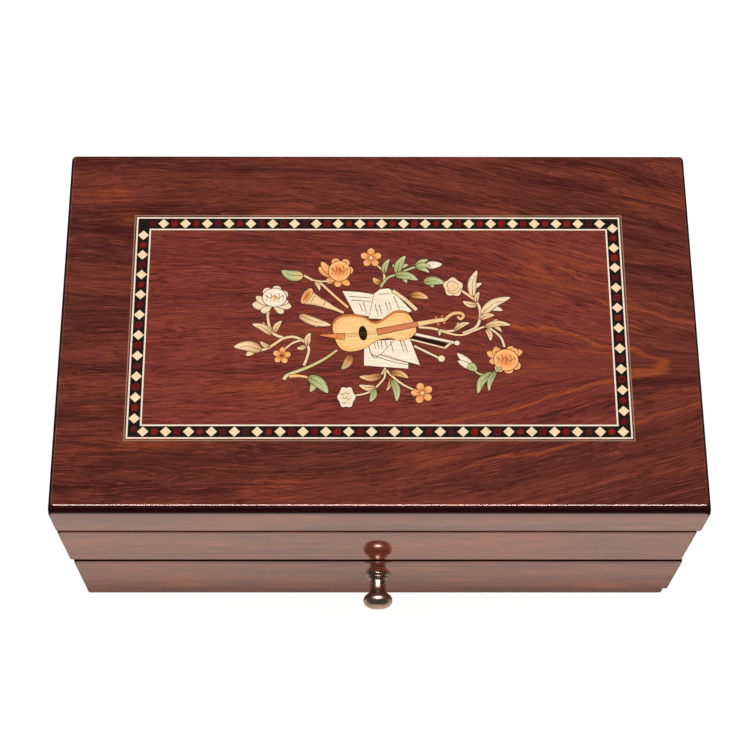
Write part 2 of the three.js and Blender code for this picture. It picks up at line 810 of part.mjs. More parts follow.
function combOutline() {
  const { from, root, teeth, y, pitch, gap } = COMB;
  const tip = CYLINDER_X - CYLINDER.radius - COMB_TIP_GAP;
  const outline = new THREE.Shape();
  outline.moveTo(from, y);
  for (let tooth = 0; tooth < teeth; tooth++) {
    const near = y + tooth * pitch;
    const far = near + pitch - gap;
    outline.lineTo(tip, near);
    outline.lineTo(tip, far);
    if (tooth < teeth - 1) {
      outline.lineTo(root, far);
      outline.lineTo(root, near + pitch);
    }
  }
  outline.lineTo(from, y + teeth * pitch - gap);
  outline.closePath();
  return outline;
}

function combSet() {
  const length = COMB.teeth * COMB.pitch - COMB.gap;
  const combBottom = ARBOR_Z - COMB.thickness / 2;
  const combTop = ARBOR_Z + COMB.thickness / 2;
  const screwPlaces = [COMB.y + length / 4, COMB.y + (3 * length) / 4];
  const outline = combOutline();
  const holes = [];
  const { x, hole, shank, head, headHeight, depth } = COMB_SCREW;
  const shankBottom = combBottom - depth;
  const screws = screwPlaces.map((y, i) => {
    outline.holes.push(circle(x, y, hole));
    holes.push(rodZ(x, y, hole, shankBottom - FIT, combTop));
    const stem = rodZ(x, y, shank, shankBottom, combTop + headHeight / 2);
    const cap = rodZ(x, y, head, combTop, combTop + headHeight);
    return part(`comb_screw_${i + 1}`, steel, join(stem, cap));
  });
  const riser = block(
    [COMB.from, COMB.y, BED_TOP],
    [COMB.root - COMB_RISER_GAP, COMB.y + length, combBottom],
  );
  return [
    part("comb", steel, alongZ(outline, combBottom, combTop)),
    part("comb_riser", castMetal, cut(riser, ...holes)),
    ...screws,
  ];
}

// A bent wire that the closed lid holds down, with its end beside the fly.
function stopWire() {
  const { radius, y, z, top, corner, flyGap } = STOP_WIRE;
  const end = WORM_Y + FLY.reach + flyGap;
  const at = (along, up) => new THREE.Vector3(WORM_X, along, up);
  const path = new THREE.CurvePath();
  path.add(new THREE.LineCurve3(at(end, z), at(y - corner, z)));
  path.add(new THREE.QuadraticBezierCurve3(at(y - corner, z), at(y, z), at(y, z + corner)));
  path.add(new THREE.LineCurve3(at(y, z + corner), at(y, top)));
  const geometry = new THREE.ExtrudeGeometry(circle(0, 0, radius), {
    steps: WIRE_STEPS,
    curveSegments: WIRE_SEGMENTS,
    bevelEnabled: false,
    extrudePath: path,
  });
  return part("stop_wire", steel, geometry);
}

// ---- The whole box ----
const musicBox = new THREE.Group();
musicBox.add(
  ...base(),
  ...carcass(),
  ...drawerRunners(),
  ...trayWalls(),
  ...trayLinings(),
  ...ringRolls(),
  ...movementWindow(),
  ...lidPanel(),
  ...lidRails(),
  ...lidInside(),
  ...hinge("left"),
  ...hinge("right"),
  ...drawerBox(),
  ...drawerInside(),
  ...knob(),
  movementFrame(),
  barrelBridge(),
  trainBridge(),
  governorBridge(),
  springBarrel(),
  mainspring(),
  windingKey(),
  musicCylinder(),
  trainWheel(),
  governor(),
  ...combSet(),
  stopWire(),
);

export default musicBox;
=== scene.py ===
"""A cylinder music box in a lacquered jewellery case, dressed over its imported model.

Lengths are metres, except in the materials and in the inlay's drawing, where they are
millimetres. The drawing is measured from the lid's centre.
"""
import json
import math
import random

import bmesh
import bpy
from mathutils import Euler, Matrix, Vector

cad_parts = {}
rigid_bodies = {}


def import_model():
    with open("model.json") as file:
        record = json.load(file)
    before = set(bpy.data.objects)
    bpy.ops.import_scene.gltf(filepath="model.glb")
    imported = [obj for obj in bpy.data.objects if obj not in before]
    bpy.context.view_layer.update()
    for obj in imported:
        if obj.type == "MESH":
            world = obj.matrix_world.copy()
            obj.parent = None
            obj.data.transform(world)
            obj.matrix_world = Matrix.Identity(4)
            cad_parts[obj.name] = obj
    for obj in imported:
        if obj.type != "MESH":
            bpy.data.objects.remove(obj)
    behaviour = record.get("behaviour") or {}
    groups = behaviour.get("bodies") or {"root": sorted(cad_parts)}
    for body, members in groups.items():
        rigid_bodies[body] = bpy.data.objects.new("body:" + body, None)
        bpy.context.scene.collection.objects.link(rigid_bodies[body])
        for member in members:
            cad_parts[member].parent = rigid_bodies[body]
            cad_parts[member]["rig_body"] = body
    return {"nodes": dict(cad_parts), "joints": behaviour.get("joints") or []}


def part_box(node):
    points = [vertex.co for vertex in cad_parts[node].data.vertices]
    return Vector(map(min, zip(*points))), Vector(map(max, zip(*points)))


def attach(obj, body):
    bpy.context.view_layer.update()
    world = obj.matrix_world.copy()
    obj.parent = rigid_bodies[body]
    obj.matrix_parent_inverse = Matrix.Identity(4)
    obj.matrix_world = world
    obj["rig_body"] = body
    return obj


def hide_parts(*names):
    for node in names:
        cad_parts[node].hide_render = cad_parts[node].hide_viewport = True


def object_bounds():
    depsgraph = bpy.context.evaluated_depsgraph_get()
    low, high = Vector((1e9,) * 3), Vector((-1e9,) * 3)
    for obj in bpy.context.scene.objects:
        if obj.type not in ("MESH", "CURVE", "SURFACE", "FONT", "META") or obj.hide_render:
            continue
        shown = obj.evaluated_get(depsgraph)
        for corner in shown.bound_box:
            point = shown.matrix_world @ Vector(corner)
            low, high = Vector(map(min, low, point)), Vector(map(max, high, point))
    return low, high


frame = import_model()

CAD_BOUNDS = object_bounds()
MM = 0.001
TAU = 2 * math.pi

# ---- Colours, as they show on a screen ----
FRAME_TONES = ((66, 28, 25), (93, 42, 36), (112, 52, 40))
FIELD_TONES = ((86, 37, 34), (112, 49, 43), (124, 55, 43))
ORANGE_BROWN = (158, 74, 38)
CREAM = (243, 218, 182)
WARM_CREAM = (247, 208, 158)
WHITE_WOOD = (246, 232, 212)
ORANGE = (244, 166, 98)
DEEP_ORANGE = (222, 122, 70)
PEACH = (250, 192, 128)
GREEN = (186, 194, 138)
DULL_GREEN = (150, 158, 104)
BROWN_LEAF = (222, 164, 108)
SCORCH = (136, 78, 40)
LIGHT_SCORCH = (206, 160, 116)
INK = (48, 26, 16)
BLACK = (32, 26, 24)

# ---- Heights of the boards' edges, and the half depth of the case, in millimetres ----
DRAWER_TOP = 48.8
CASE_BOTTOM = 51
CASE_TOP = 88.9
RAIL_BOTTOM = 90.5
# heights over which the lid's rounded edge is painted darker: painted shade for the dark room it
# reflects
LID_PAINTED_SHADE = (116.74, 116.52)
CASE_HALF_Y = 76.8


def linear(colour):
    """A screen colour as the linear RGBA that a shader wants."""

    def one(c):
        c /= 255
        return c / 12.92 if c <= 0.04045 else ((c + 0.055) / 1.055) ** 2.4

    return (*[one(c) for c in colour], 1.0)


# ---- Materials ----
def grained(along, length, width):
    """Feature sizes along X, Y and Z for a grain that runs along one axis."""
    return [length if axis == along else width for axis in range(3)]


class Graph:
    """A node tree, written as nested calls whose arguments are values or other nodes' outputs."""

    def __init__(self, name, owner=None):
        self.owner = owner or bpy.data.materials.new(name)
        self.owner.use_nodes = True
        self.tree = self.owner.node_tree
        self.tree.nodes.clear()

    def add(self, kind, sockets=(), **settings):
        node = self.tree.nodes.new("ShaderNode" + kind)
        for key, value in settings.items():
            setattr(node, key, value)
        for key, value in dict(sockets).items():
            if isinstance(value, bpy.types.NodeSocket):
                self.tree.links.new(value, node.inputs[key])
            else:
                node.inputs[key].default_value = value
        return node

    def place(self):
        """The surface point in the piece's own frame, in millimetres."""
        point = self.add("TexCoord").outputs["Object"]
        return self.vector("MULTIPLY", point, (1000, 1000, 1000))

    def split(self, point):
        return self.add("SeparateXYZ", {0: point}).outputs

    def vector(self, operation, a, b):
        return self.add("VectorMath", {0: a, 1: b}, operation=operation).outputs[0]

    def math(self, operation, a, b=0.0):
        return self.add("Math", {0: a, 1: b}, operation=operation).outputs[0]

    def plus(self, a, b):
        return self.math("ADD", a, b)

    def minus(self, a, b):
        return self.math("SUBTRACT", a, b)

    def times(self, a, b):
        return self.math("MULTIPLY", a, b)

    def absolute(self, value):
        return self.math("ABSOLUTE", value)

    def blunted(self, value, radius):
        """The value's size, with its sharp turn at 0 rounded over a radius."""
        return self.math("SQRT", self.plus(self.times(value, value), radius**2))

    def noise(self, point, size, detail=3.0, roughness=0.55):
        """Noise whose features are about size millimetres along X, Y and Z."""
        scaled = self.vector("DIVIDE", point, tuple(size))
        sockets = {"Vector": scaled, "Scale": 1.0, "Detail": detail, "Roughness": roughness}
        return self.add("TexNoise", sockets).outputs["Fac"]

    def warp(self, point, size, amount):
        """The point moved by up to half of amount along each axis."""
        scaled = self.vector("DIVIDE", point, tuple(size))
        colour = self.add("TexNoise", {"Vector": scaled, "Scale": 1.0}).outputs["Color"]
        centred = self.vector("SUBTRACT", colour, (0.5, 0.5, 0.5))
        return self.vector("ADD", point, self.vector("MULTIPLY", centred, tuple(amount)))

    def span(self, value, low, high, out_low=0.0, out_high=1.0, shape="SMOOTHSTEP"):
        sockets = {0: value, 1: low, 2: high, 3: out_low, 4: out_high}
        return self.add("MapRange", sockets, interpolation_type=shape).outputs[0]

    def ramp(self, value, *stops, convert=linear):
        node = self.add("ValToRGB", {0: value})
        elements = node.color_ramp.elements
        while len(elements) < len(stops):
            elements.new(0.5)
        for element, (place, colour) in zip(elements, stops):
            element.position, element.color = place, convert(colour)
        return node.outputs[0]

    def mix(self, share, a, b, blend="MIX"):
        """a and b are outputs, screen colours as tuples, or linear colours as lists."""
        a, b = [linear(c) if isinstance(c, tuple) else c for c in (a, b)]
        node = self.add("Mix", {0: share, 6: a, 7: b}, data_type="RGBA", blend_type=blend)
        return node.outputs[2]

    def bump(self, height, depth, strength):
        """depth is how far the height's whole range stands up, in millimetres."""
        sockets = {"Height": height, "Distance": depth * MM, "Strength": strength}
        return self.add("Bump", sockets).outputs[0]

    def surface(self, **sockets):
        named = {key.replace("_", " "): value for key, value in sockets.items()}
        shader = self.add("BsdfPrincipled", named)
        self.add("OutputMaterial", {"Surface": shader.outputs[0]})
        return self.owner

    def lacquered(self, colour, fibres, roughness, relief, point, coat=1.0):
        """Wood under a smooth coat. Only the coat is glossy, so that no lamp hazes the wood."""
        return self.surface(
            Base_Color=colour,
            Roughness=self.span(fibres, 0.2, 0.8, *roughness),
            Normal=self.bump(fibres, *relief),
            Specular_IOR_Level=0.0,
            Coat_Weight=coat,
            Coat_Roughness=0.045,
            Coat_IOR=1.5,
            Coat_Normal=self.bump(self.noise(point, (5, 5, 5), 2), 0.006, 0.6),
        )


def rosewood(name, along=0, offset=(0, 0, 0), painted_shade_edge=None, shaded_seams=(), tones=FRAME_TONES,
             arched=False):
    """Lacquered rosewood with its grain along one axis. Between the two heights of the painted
    shade edge the colour is painted darker downwards: painted shade for the dark room that a
    rounded edge reflects. At each height in the shaded seams the outer arris is painted black and
    left
    unlacquered: a painted shadow for the gap of the joint. arched wood has the pointed arches of a
    plain-sawn board towards its right end."""
    deep, middle, bright = tones
    g = Graph(name)
    point = g.place()
    x, y, z = g.split(point)
    if arched:
        tip_y, tip_radius, spread, start_radius = -17, 4, 0.14, 30
        reach = g.span(x, 0, 50)
        from_middle = g.minus(y, tip_y)
        apart = g.blunted(from_middle, tip_radius)
        run = g.times(g.plus(x, g.blunted(x, start_radius)), spread)
        arch = g.plus(apart, run)
        bent = g.plus(y, g.times(g.math("DIVIDE", from_middle, apart), run))
        point = g.add("CombineXYZ", {0: x, 1: bent, 2: z}).outputs[0]
    point = g.vector("ADD", point, offset)
    flow = g.warp(point, grained(along, 95, 26), grained(along, 0, 15))
    flow = g.warp(flow, grained(along, 22, 5), grained(along, 0, 1.6))
    bands = g.noise(flow, grained(along, 150, 9), 5, 0.62)
    mottle = g.noise(point, grained(along, 60, 24), 3, 0.6)
    fibres = g.noise(flow, grained(along, 20, 0.7), 4, 0.7)
    streaks = g.noise(flow, grained(along, 44, 1.9), 3, 0.6)
    pores = g.noise(flow, grained(along, 6.5, 0.42), 3, 0.6)

    colour = g.ramp(bands, (0.32, deep), (0.46, middle), (0.58, bright), (0.75, middle))
    glow = g.times(g.span(mottle, 0.5, 0.68), g.span(streaks, 0.36, 0.62))
    colour = g.mix(g.times(glow, 0.62), colour, ORANGE_BROWN)
    light = g.times(g.span(fibres, 0.5, 0.68), 0.6)
    colour = g.mix(light, colour, tuple(c * 1.32 for c in bright))
    if arched:
        wander = g.span(g.noise(point, (30, 30, 30), 2), 0.3, 0.7, -2, 2)
        for line, strength in ((35, 0.75), (54, 0.45), (22, 0.3)):
            distance = g.absolute(g.minus(g.plus(arch, wander), line))
            share = g.times(g.times(g.span(distance, 1.4, 0.2), reach), strength)
            colour = g.mix(share, colour, ORANGE_BROWN)
    colour = g.mix(g.times(g.span(fibres, 0.48, 0.3), 0.66), colour, (46, 19, 18))
    colour = g.mix(g.times(g.span(pores, 0.5, 0.64), 0.55), colour, (44, 17, 16))
    # painted shade: the lid's rounded edge darkens downwards to near black, standing in for the
    # dark room it reflects
    if painted_shade_edge:
        colour = g.mix(g.span(z, *painted_shade_edge), colour, (30, 4, 3))
    coat = 1.0
    # painted shadow: at each seam height the outer arris is blackened and loses its coat, standing
    # in for the shade in the joint's gap
    if shaded_seams:
        past_side = g.minus(g.absolute(x), CAD_BOUNDS[1].x / MM)
        past_front = g.minus(g.absolute(y), CASE_HALF_Y)
        arris = g.span(g.math("MAXIMUM", past_side, past_front), -1.8, -1.2)
    for seam in shaded_seams:
        near = g.times(g.span(g.absolute(g.minus(z, seam)), 0.9, 0.4), arris)
        colour = g.mix(near, colour, (9, 2, 2))
        coat = g.minus(coat, near)
    return g.lacquered(colour, fibres, (0.42, 0.6), (0.02, 0.5), point, coat)


def inlay(name):
    """Dyed and scorched veneer: the mesh carries its tint."""
    g = Graph(name)
    point = g.place()
    tint = g.add("Attribute", attribute_name="tint").outputs["Color"]
    fibres = g.noise(g.warp(point, (20, 6, 6), (0, 1.5, 1.5)), (7, 0.35, 0.35), 3, 0.6)
    patches = g.noise(point, (2.2, 1.6, 2), 3, 0.6)
    colour = g.mix(g.span(fibres, 0.3, 0.7, 0.0, 0.34), tint, (205, 168, 120), "MULTIPLY")
    colour = g.mix(g.span(patches, 0.55, 0.75, 0.0, 0.35), colour, (226, 172, 120), "MULTIPLY")
    return g.lacquered(colour, fibres, (0.35, 0.5), (0.01, 0.4), point)


def raw_wood(name, along=0):
    g = Graph(name)
    point = g.warp(g.place(), (60, 60, 60), grained(along, 0, 9))
    bands = g.noise(point, grained(along, 90, 5), 4, 0.6)
    fibres = g.noise(point, grained(along, 14, 0.5), 3, 0.6)
    colour = g.ramp(bands, (0.3, (176, 132, 86)), (0.5, (206, 166, 118)), (0.7, (190, 146, 98)))
    colour = g.mix(g.span(fibres, 0.45, 0.7, 0.0, 0.5), colour, (150, 104, 62))
    return g.surface(
        Base_Color=colour,
        Roughness=g.span(fibres, 0.2, 0.8, 0.55, 0.75),
        Normal=g.bump(fibres, 0.06, 0.6),
    )


def cloth(name, base, nap, pile):
    """Velvet or felt: brushed patches of pile, over fine fibres."""
    g = Graph(name)
    point = g.place()
    patches = g.noise(g.warp(point, (14, 14, 14), (8, 8, 8)), (7, 4.5, 6), 3, 0.5)
    fibres = g.noise(point, (0.35, 0.35, 0.35), 2, 0.7)
    colour = g.mix(g.span(patches, 0.3, 0.7, 0.3, 0.75), base, nap)
    colour = g.mix(g.span(fibres, 0.3, 0.75, 0.0, 0.45), colour, tuple(c // 3 for c in base))
    return g.surface(
        Base_Color=colour,
        Roughness=0.95,
        Normal=g.bump(g.plus(fibres, g.times(patches, 0.4)), 0.25, 0.8),
        Specular_IOR_Level=0.15,
        Sheen_Weight=pile,
        Sheen_Roughness=0.35,
        Sheen_Tint=linear(nap),
    )


def metal(name, colour, tarnish, roughness, brushed=None, grain=0.0015, worn=0.5):
    """A metal with tarnish in patches. brushed is the axis of its brush lines, or None for a cast
    skin; worn is how far the tarnish hides the metal."""
    g = Graph(name)
    point = g.place()
    size = (0.6, 0.6, 0.6) if brushed is None else grained(brushed, 12, 0.12)
    lines, patches = g.noise(point, size, 3, 0.6), g.noise(point, (4, 4, 4), 4, 0.62)
    tone = g.mix(g.span(patches, 0.42, 0.66, 0.0, worn), colour, tarnish)
    tone = g.mix(g.span(lines, 0.4, 0.75, 0.0, 0.22), tone, tarnish)
    return g.surface(
        Base_Color=tone,
        Metallic=1.0,
        Roughness=g.span(g.plus(lines, patches), 0.6, 1.4, *roughness),
        Normal=g.bump(lines, grain, 0.7),
    )


def clear_plastic(name):
    g = Graph(name)
    smear = g.noise(g.place(), (26, 9, 9), 4, 0.6)
    return g.surface(
        Base_Color=g.mix(smear, (250, 252, 252), (240, 246, 246)),
        Roughness=g.span(smear, 0.4, 0.8, 0.01, 0.07),
        Transmission_Weight=1.0,
        IOR=1.49,
        Normal=g.bump(smear, 0.02, 0.3),
    )


LACQUER = rosewood("rosewood", shaded_seams=(CASE_BOTTOM, CASE_TOP))
LACQUER_SIDE = rosewood(
    "rosewood_side", along=1, offset=(37, 11, 5), shaded_seams=(CASE_BOTTOM, CASE_TOP, RAIL_BOTTOM)
)
LACQUER_LID = rosewood("rosewood_lid", offset=(0, 0, 61), painted_shade_edge=LID_PAINTED_SHADE, arched=True)
LACQUER_RAIL = rosewood("rosewood_rail", offset=(0, 0, 61), shaded_seams=(RAIL_BOTTOM,))
LACQUER_FIELD = rosewood(
    "rosewood_field", offset=(44, 7, 140), tones=FIELD_TONES, arched=True
)
LACQUER_DRAWER = rosewood("rosewood_drawer", offset=(190, 40, 17), shaded_seams=(DRAWER_TOP,))
INLAY = inlay("inlay_wood")
RAW = raw_wood("raw_wood")
RAW_SIDE = raw_wood("raw_wood_side", along=1)
VELVET = cloth("velvet", (74, 8, 17), (124, 20, 32), 0.55)
FELT = cloth("felt", (24, 44, 32), (38, 60, 46), 0.3)
NICKEL = metal("antique_nickel", (172, 156, 142), (84, 72, 64), (0.24, 0.4), grain=0.004)
BRASS = metal("brass", (214, 172, 96), (150, 104, 48), (0.2, 0.36), brushed=1, worn=0.12)
BRASS_TURNED = metal(
    "brass_turned", (220, 180, 104), (158, 112, 54), (0.16, 0.32), brushed=0, worn=0.12
)
STEEL = metal("steel", (188, 190, 194), (122, 124, 130), (0.2, 0.34), brushed=0)
BLUED = metal("blued_steel", (92, 104, 140), (52, 54, 78), (0.22, 0.36), brushed=1)
CAST = metal("cast_metal", (150, 150, 150), (96, 96, 98), (0.42, 0.6), grain=0.008, worn=0.25)
SILVERED = metal(
    "mirror_glass", (236, 240, 240), (222, 228, 230), (0.008, 0.03), grain=0.0005, worn=0.2
)
PLASTIC = clear_plastic("clear_plastic")


# ---- Making pieces ----
def body_of(node):
    return frame["nodes"][node]["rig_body"]


def piece(name, source, material, body, replaces=(), crease=35):
    """Turns a bmesh into a piece that rides on a body, smooth except where it turns by more than
    crease degrees."""
    mesh = bpy.data.meshes.new(name)
    bmesh.ops.recalc_face_normals(source, faces=source.faces)
    source.to_mesh(mesh)
    source.free()
    mesh.materials.append(material)
    mesh.shade_smooth()
    mesh.set_sharp_from_angle(angle=math.radians(crease))
    obj = bpy.data.objects.new(name, mesh)
    bpy.context.scene.collection.objects.link(obj)
    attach(obj, body)
    if replaces:
        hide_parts(*replaces)
    return obj


def weigh(obj):
    """Lets large flat faces decide the shading, so that only the rounded edges look round."""
    obj.modifiers.new("weighted", "WEIGHTED_NORMAL").keep_sharp = True
    return obj


def keep(nodes, material, bevel, segments=2):
    """CAD nodes whose shape is right: a material, soft edges and smooth curves."""
    for name in nodes:
        obj = frame["nodes"][name]
        mesh = obj.data
        mesh.materials.clear()
        mesh.materials.append(material)
        mesh.shade_smooth()
        obj.modifiers.new("weld", "WELD").merge_threshold = 1e-6
        if bevel:
            soft = obj.modifiers.new("bevel", "BEVEL")
            soft.width = bevel * MM
            soft.segments = segments
            soft.limit_method = "ANGLE"
            soft.angle_limit = math.radians(40)
            weigh(obj)
        else:
            obj.modifiers.new("split", "EDGE_SPLIT").split_angle = math.radians(30)


SIDES = {
    "left": (0, -1), "right": (0, 1), "front": (1, -1), "back": (1, 1),
    "bottom": (2, -1), "top": (2, 1),
}


def board(node, shown, material, slot="rosewood", radius=1.1, top=1.0):
    """A board whose edges are rounded where two of its shown sides meet. top is how much longer the
    rounding at its top is than it is wide."""
    low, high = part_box(node)
    bm = bmesh.new()
    bmesh.ops.create_cube(bm, size=2)
    for v in bm.verts:
        v.co = [low[i] if v.co[i] < 0 else high[i] for i in range(3)]
    bm.normal_update()
    wanted = [SIDES[side] for side in shown.split()]

    def is_shown(face):
        return any(face.normal[axis] * sign > 0.9 for axis, sign in wanted)

    edges = [e for e in bm.edges if all(is_shown(f) for f in e.link_faces)]
    bmesh.ops.bevel(
        bm, geom=edges, offset=radius * MM, segments=4, profile=0.5, affect="EDGES"
    )
    if top > 1:
        for v in bm.verts:
            drop = high.z - v.co.z
            if drop <= radius * MM * 1.001:
                v.co.z = high.z - drop * top
    return weigh(piece(node, bm, material, body_of(node), [node]))


def loft(bm, loops, closed=True):
    """Skins loops of equally many points, and caps the two ends."""
    rings = [[bm.verts.new(p) for p in loop] for loop in loops]
    for a, b in zip(rings, rings[1:]):
        for i in range(len(a)):
            j = (i + 1) % len(a)
            bm.faces.new((a[i], a[j], b[j], b[i]))
    if closed:
        bm.faces.new(rings[0][::-1])
        bm.faces.new(rings[-1])
    return rings


def skin_grid(bm, top, low):
    """Closes the body between two grids of vertices, given as equally many rows."""
    last, end = len(top) - 1, len(top[0]) - 1
    for i in range(last):
        for j in range(end):
            bm.faces.new((top[i][j], top[i + 1][j], top[i + 1][j + 1], top[i][j + 1]))
            bm.faces.new((low[i][j], low[i][j + 1], low[i + 1][j + 1], low[i + 1][j]))
        bm.faces.new((top[i + 1][0], top[i][0], low[i][0], low[i + 1][0]))
        bm.faces.new((top[i][end], top[i + 1][end], low[i + 1][end], low[i][end]))
    for j in range(end):
        bm.faces.new((top[0][j], top[0][j + 1], low[0][j + 1], low[0][j]))
        bm.faces.new((top[last][j + 1], top[last][j], low[last][j], low[last][j + 1]))


def lathe(bm, profile, axis, centre, segments=48):
    """Turns [radius, distance] pairs about a line along an axis. A radius of 0 is a pole."""
    u, v = (axis + 1) % 3, (axis + 2) % 3
    rings = []
    for radius, along in profile:
        ring = []
        for i in range(1 if radius == 0 else segments):
            p = list(centre)
            p[axis] = along
            p[u] += radius * math.cos(TAU * i / segments)
            p[v] += radius * math.sin(TAU * i / segments)
            ring.append(bm.verts.new(p))
        rings.append(ring)
    for a, b in zip(rings, rings[1:]):
        for i in range(segments):
            j = (i + 1) % segments
            corners = [a[i % len(a)], a[j % len(a)], b[j % len(b)], b[i % len(b)]]
            bm.faces.new(list(dict.fromkeys(corners)))


def smooth_line(points, steps):
    """A Catmull-Rom curve through points of any dimension."""
    ends = [points[0], *points, points[-1]]
    line = []
    for p0, p1, p2, p3 in zip(ends, ends[1:], ends[2:], ends[3:]):
        for i in range(steps):
            t = i / steps
            line.append(tuple(
                0.5 * (2 * b + (c - a) * t + (2 * a - 5 * b + 4 * c - d) * t**2
                       + (3 * b - a - 3 * c + d) * t**3)
                for a, b, c, d in zip(p0, p1, p2, p3)
            ))
    return [*line, tuple(points[-1])]


# ---- The case, lid shell and drawer front ----
CASE_EDGE = {"radius": 0.6, "top": 5.0}
board("base_plinth", "left right front back top bottom", LACQUER, radius=0.35)
board("case_front_panel", "left right front top bottom", LACQUER, **CASE_EDGE)
board("case_left_side", "left back top", LACQUER_SIDE, **CASE_EDGE)
board("case_right_side", "right back top", LACQUER_SIDE, **CASE_EDGE)
board("case_back_panel", "back top", LACQUER, **CASE_EDGE)
board("drawer_front", "left right front top bottom", LACQUER_DRAWER, **CASE_EDGE)
board("lid_front_rail", "left right front bottom", LACQUER_RAIL, radius=0.4)
board("lid_back_rail", "left right back bottom", LACQUER_RAIL, radius=0.4)
board("lid_left_rail", "left bottom", LACQUER_SIDE, radius=0.4)
board("lid_right_rail", "right bottom", LACQUER_SIDE, radius=0.4)


def middle_and_half(node):
    low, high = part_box(node)
    return (low + high) / 2, (high - low) / 2


LID_LOW, LID_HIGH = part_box("lid_panel")
LID_CENTRE, LID_HALF = middle_and_half("lid_panel")
BAND_HALF = middle_and_half("inlay_banding")[1]
FIELD_HALF = middle_and_half("marquetry_field")[1]
INLAY_PROUD = 0.23 * MM  # room for the stacked veneers under the top of the CAD box
LID_TOP = LID_HIGH.z - INLAY_PROUD
ROUND_FRONT = 2.0 * MM  # how far the lid's edge rounds in at the front and the sides
ROUND_BACK = 0.7 * MM
LID_CORNER = 1.1 * MM
SHARP_CORNER = 0.02 * MM
FIELD_GAP = 0.03 * MM


def rounded_outline(half_x, half_y, radius):
    """Points round a rectangle with round corners, about the origin."""
    steps = 5
    points = []
    for corner, (sx, sy) in enumerate([(1, 1), (-1, 1), (-1, -1), (1, -1)]):
        for i in range(steps + 1):
            angle = TAU / 4 * (corner + i / steps)
            x = sx * (half_x - radius) + radius * math.cos(angle)
            points.append((x, sy * (half_y - radius) + radius * math.sin(angle)))
    return points


def lid_loop(half, inset, z):
    outline = rounded_outline(half.x - inset, half.y - inset, SHARP_CORNER)
    return [(LID_CENTRE.x + x, LID_CENTRE.y + y, z) for x, y in outline]


def lid_panel():
    """The lid's top, with a pocket for the inlay, and the field inside the banding."""
    outline = rounded_outline(LID_HALF.x, LID_HALF.y, LID_CORNER)

    def edge_loop(inset, drop):
        """The outline drawn in by a share of the rounding, and lowered by a share of the height."""
        half_x = LID_HALF.x - inset * ROUND_FRONT
        front, back = -LID_HALF.y + inset * ROUND_FRONT, LID_HALF.y - inset * ROUND_BACK
        z = LID_TOP - drop * (LID_TOP - LID_LOW.z)
        loop = []
        for x, y in outline:
            near_y = (back + front) / 2 + y / LID_HALF.y * (back - front) / 2
            loop.append((LID_CENTRE.x + x * half_x / LID_HALF.x, LID_CENTRE.y + near_y, z))
        return loop

    steps = 16
    angles = [TAU / 4 * step / steps for step in range(steps + 1)]
    loops = [edge_loop(1 - math.cos(angle), 1 - math.sin(angle)) for angle in angles]
    loops += [edge_loop(inset, 0) for inset in (1.1, 2.0)]
    loops += [lid_loop(BAND_HALF, 0, z) for z in (LID_TOP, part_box("inlay_banding")[0].z)]
    bm = bmesh.new()
    loft(bm, loops)
    weigh(piece("lid_panel", bm, LACQUER_LID, "lid", ["lid_panel"], crease=60))

    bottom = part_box("marquetry_field")[0].z + FIELD_GAP
    bm = bmesh.new()
    loft(bm, [lid_loop(FIELD_HALF, FIELD_GAP, z) for z in (bottom, LID_TOP)])
    piece("marquetry_field", bm, LACQUER_FIELD, "lid", ["marquetry_field"])


lid_panel()


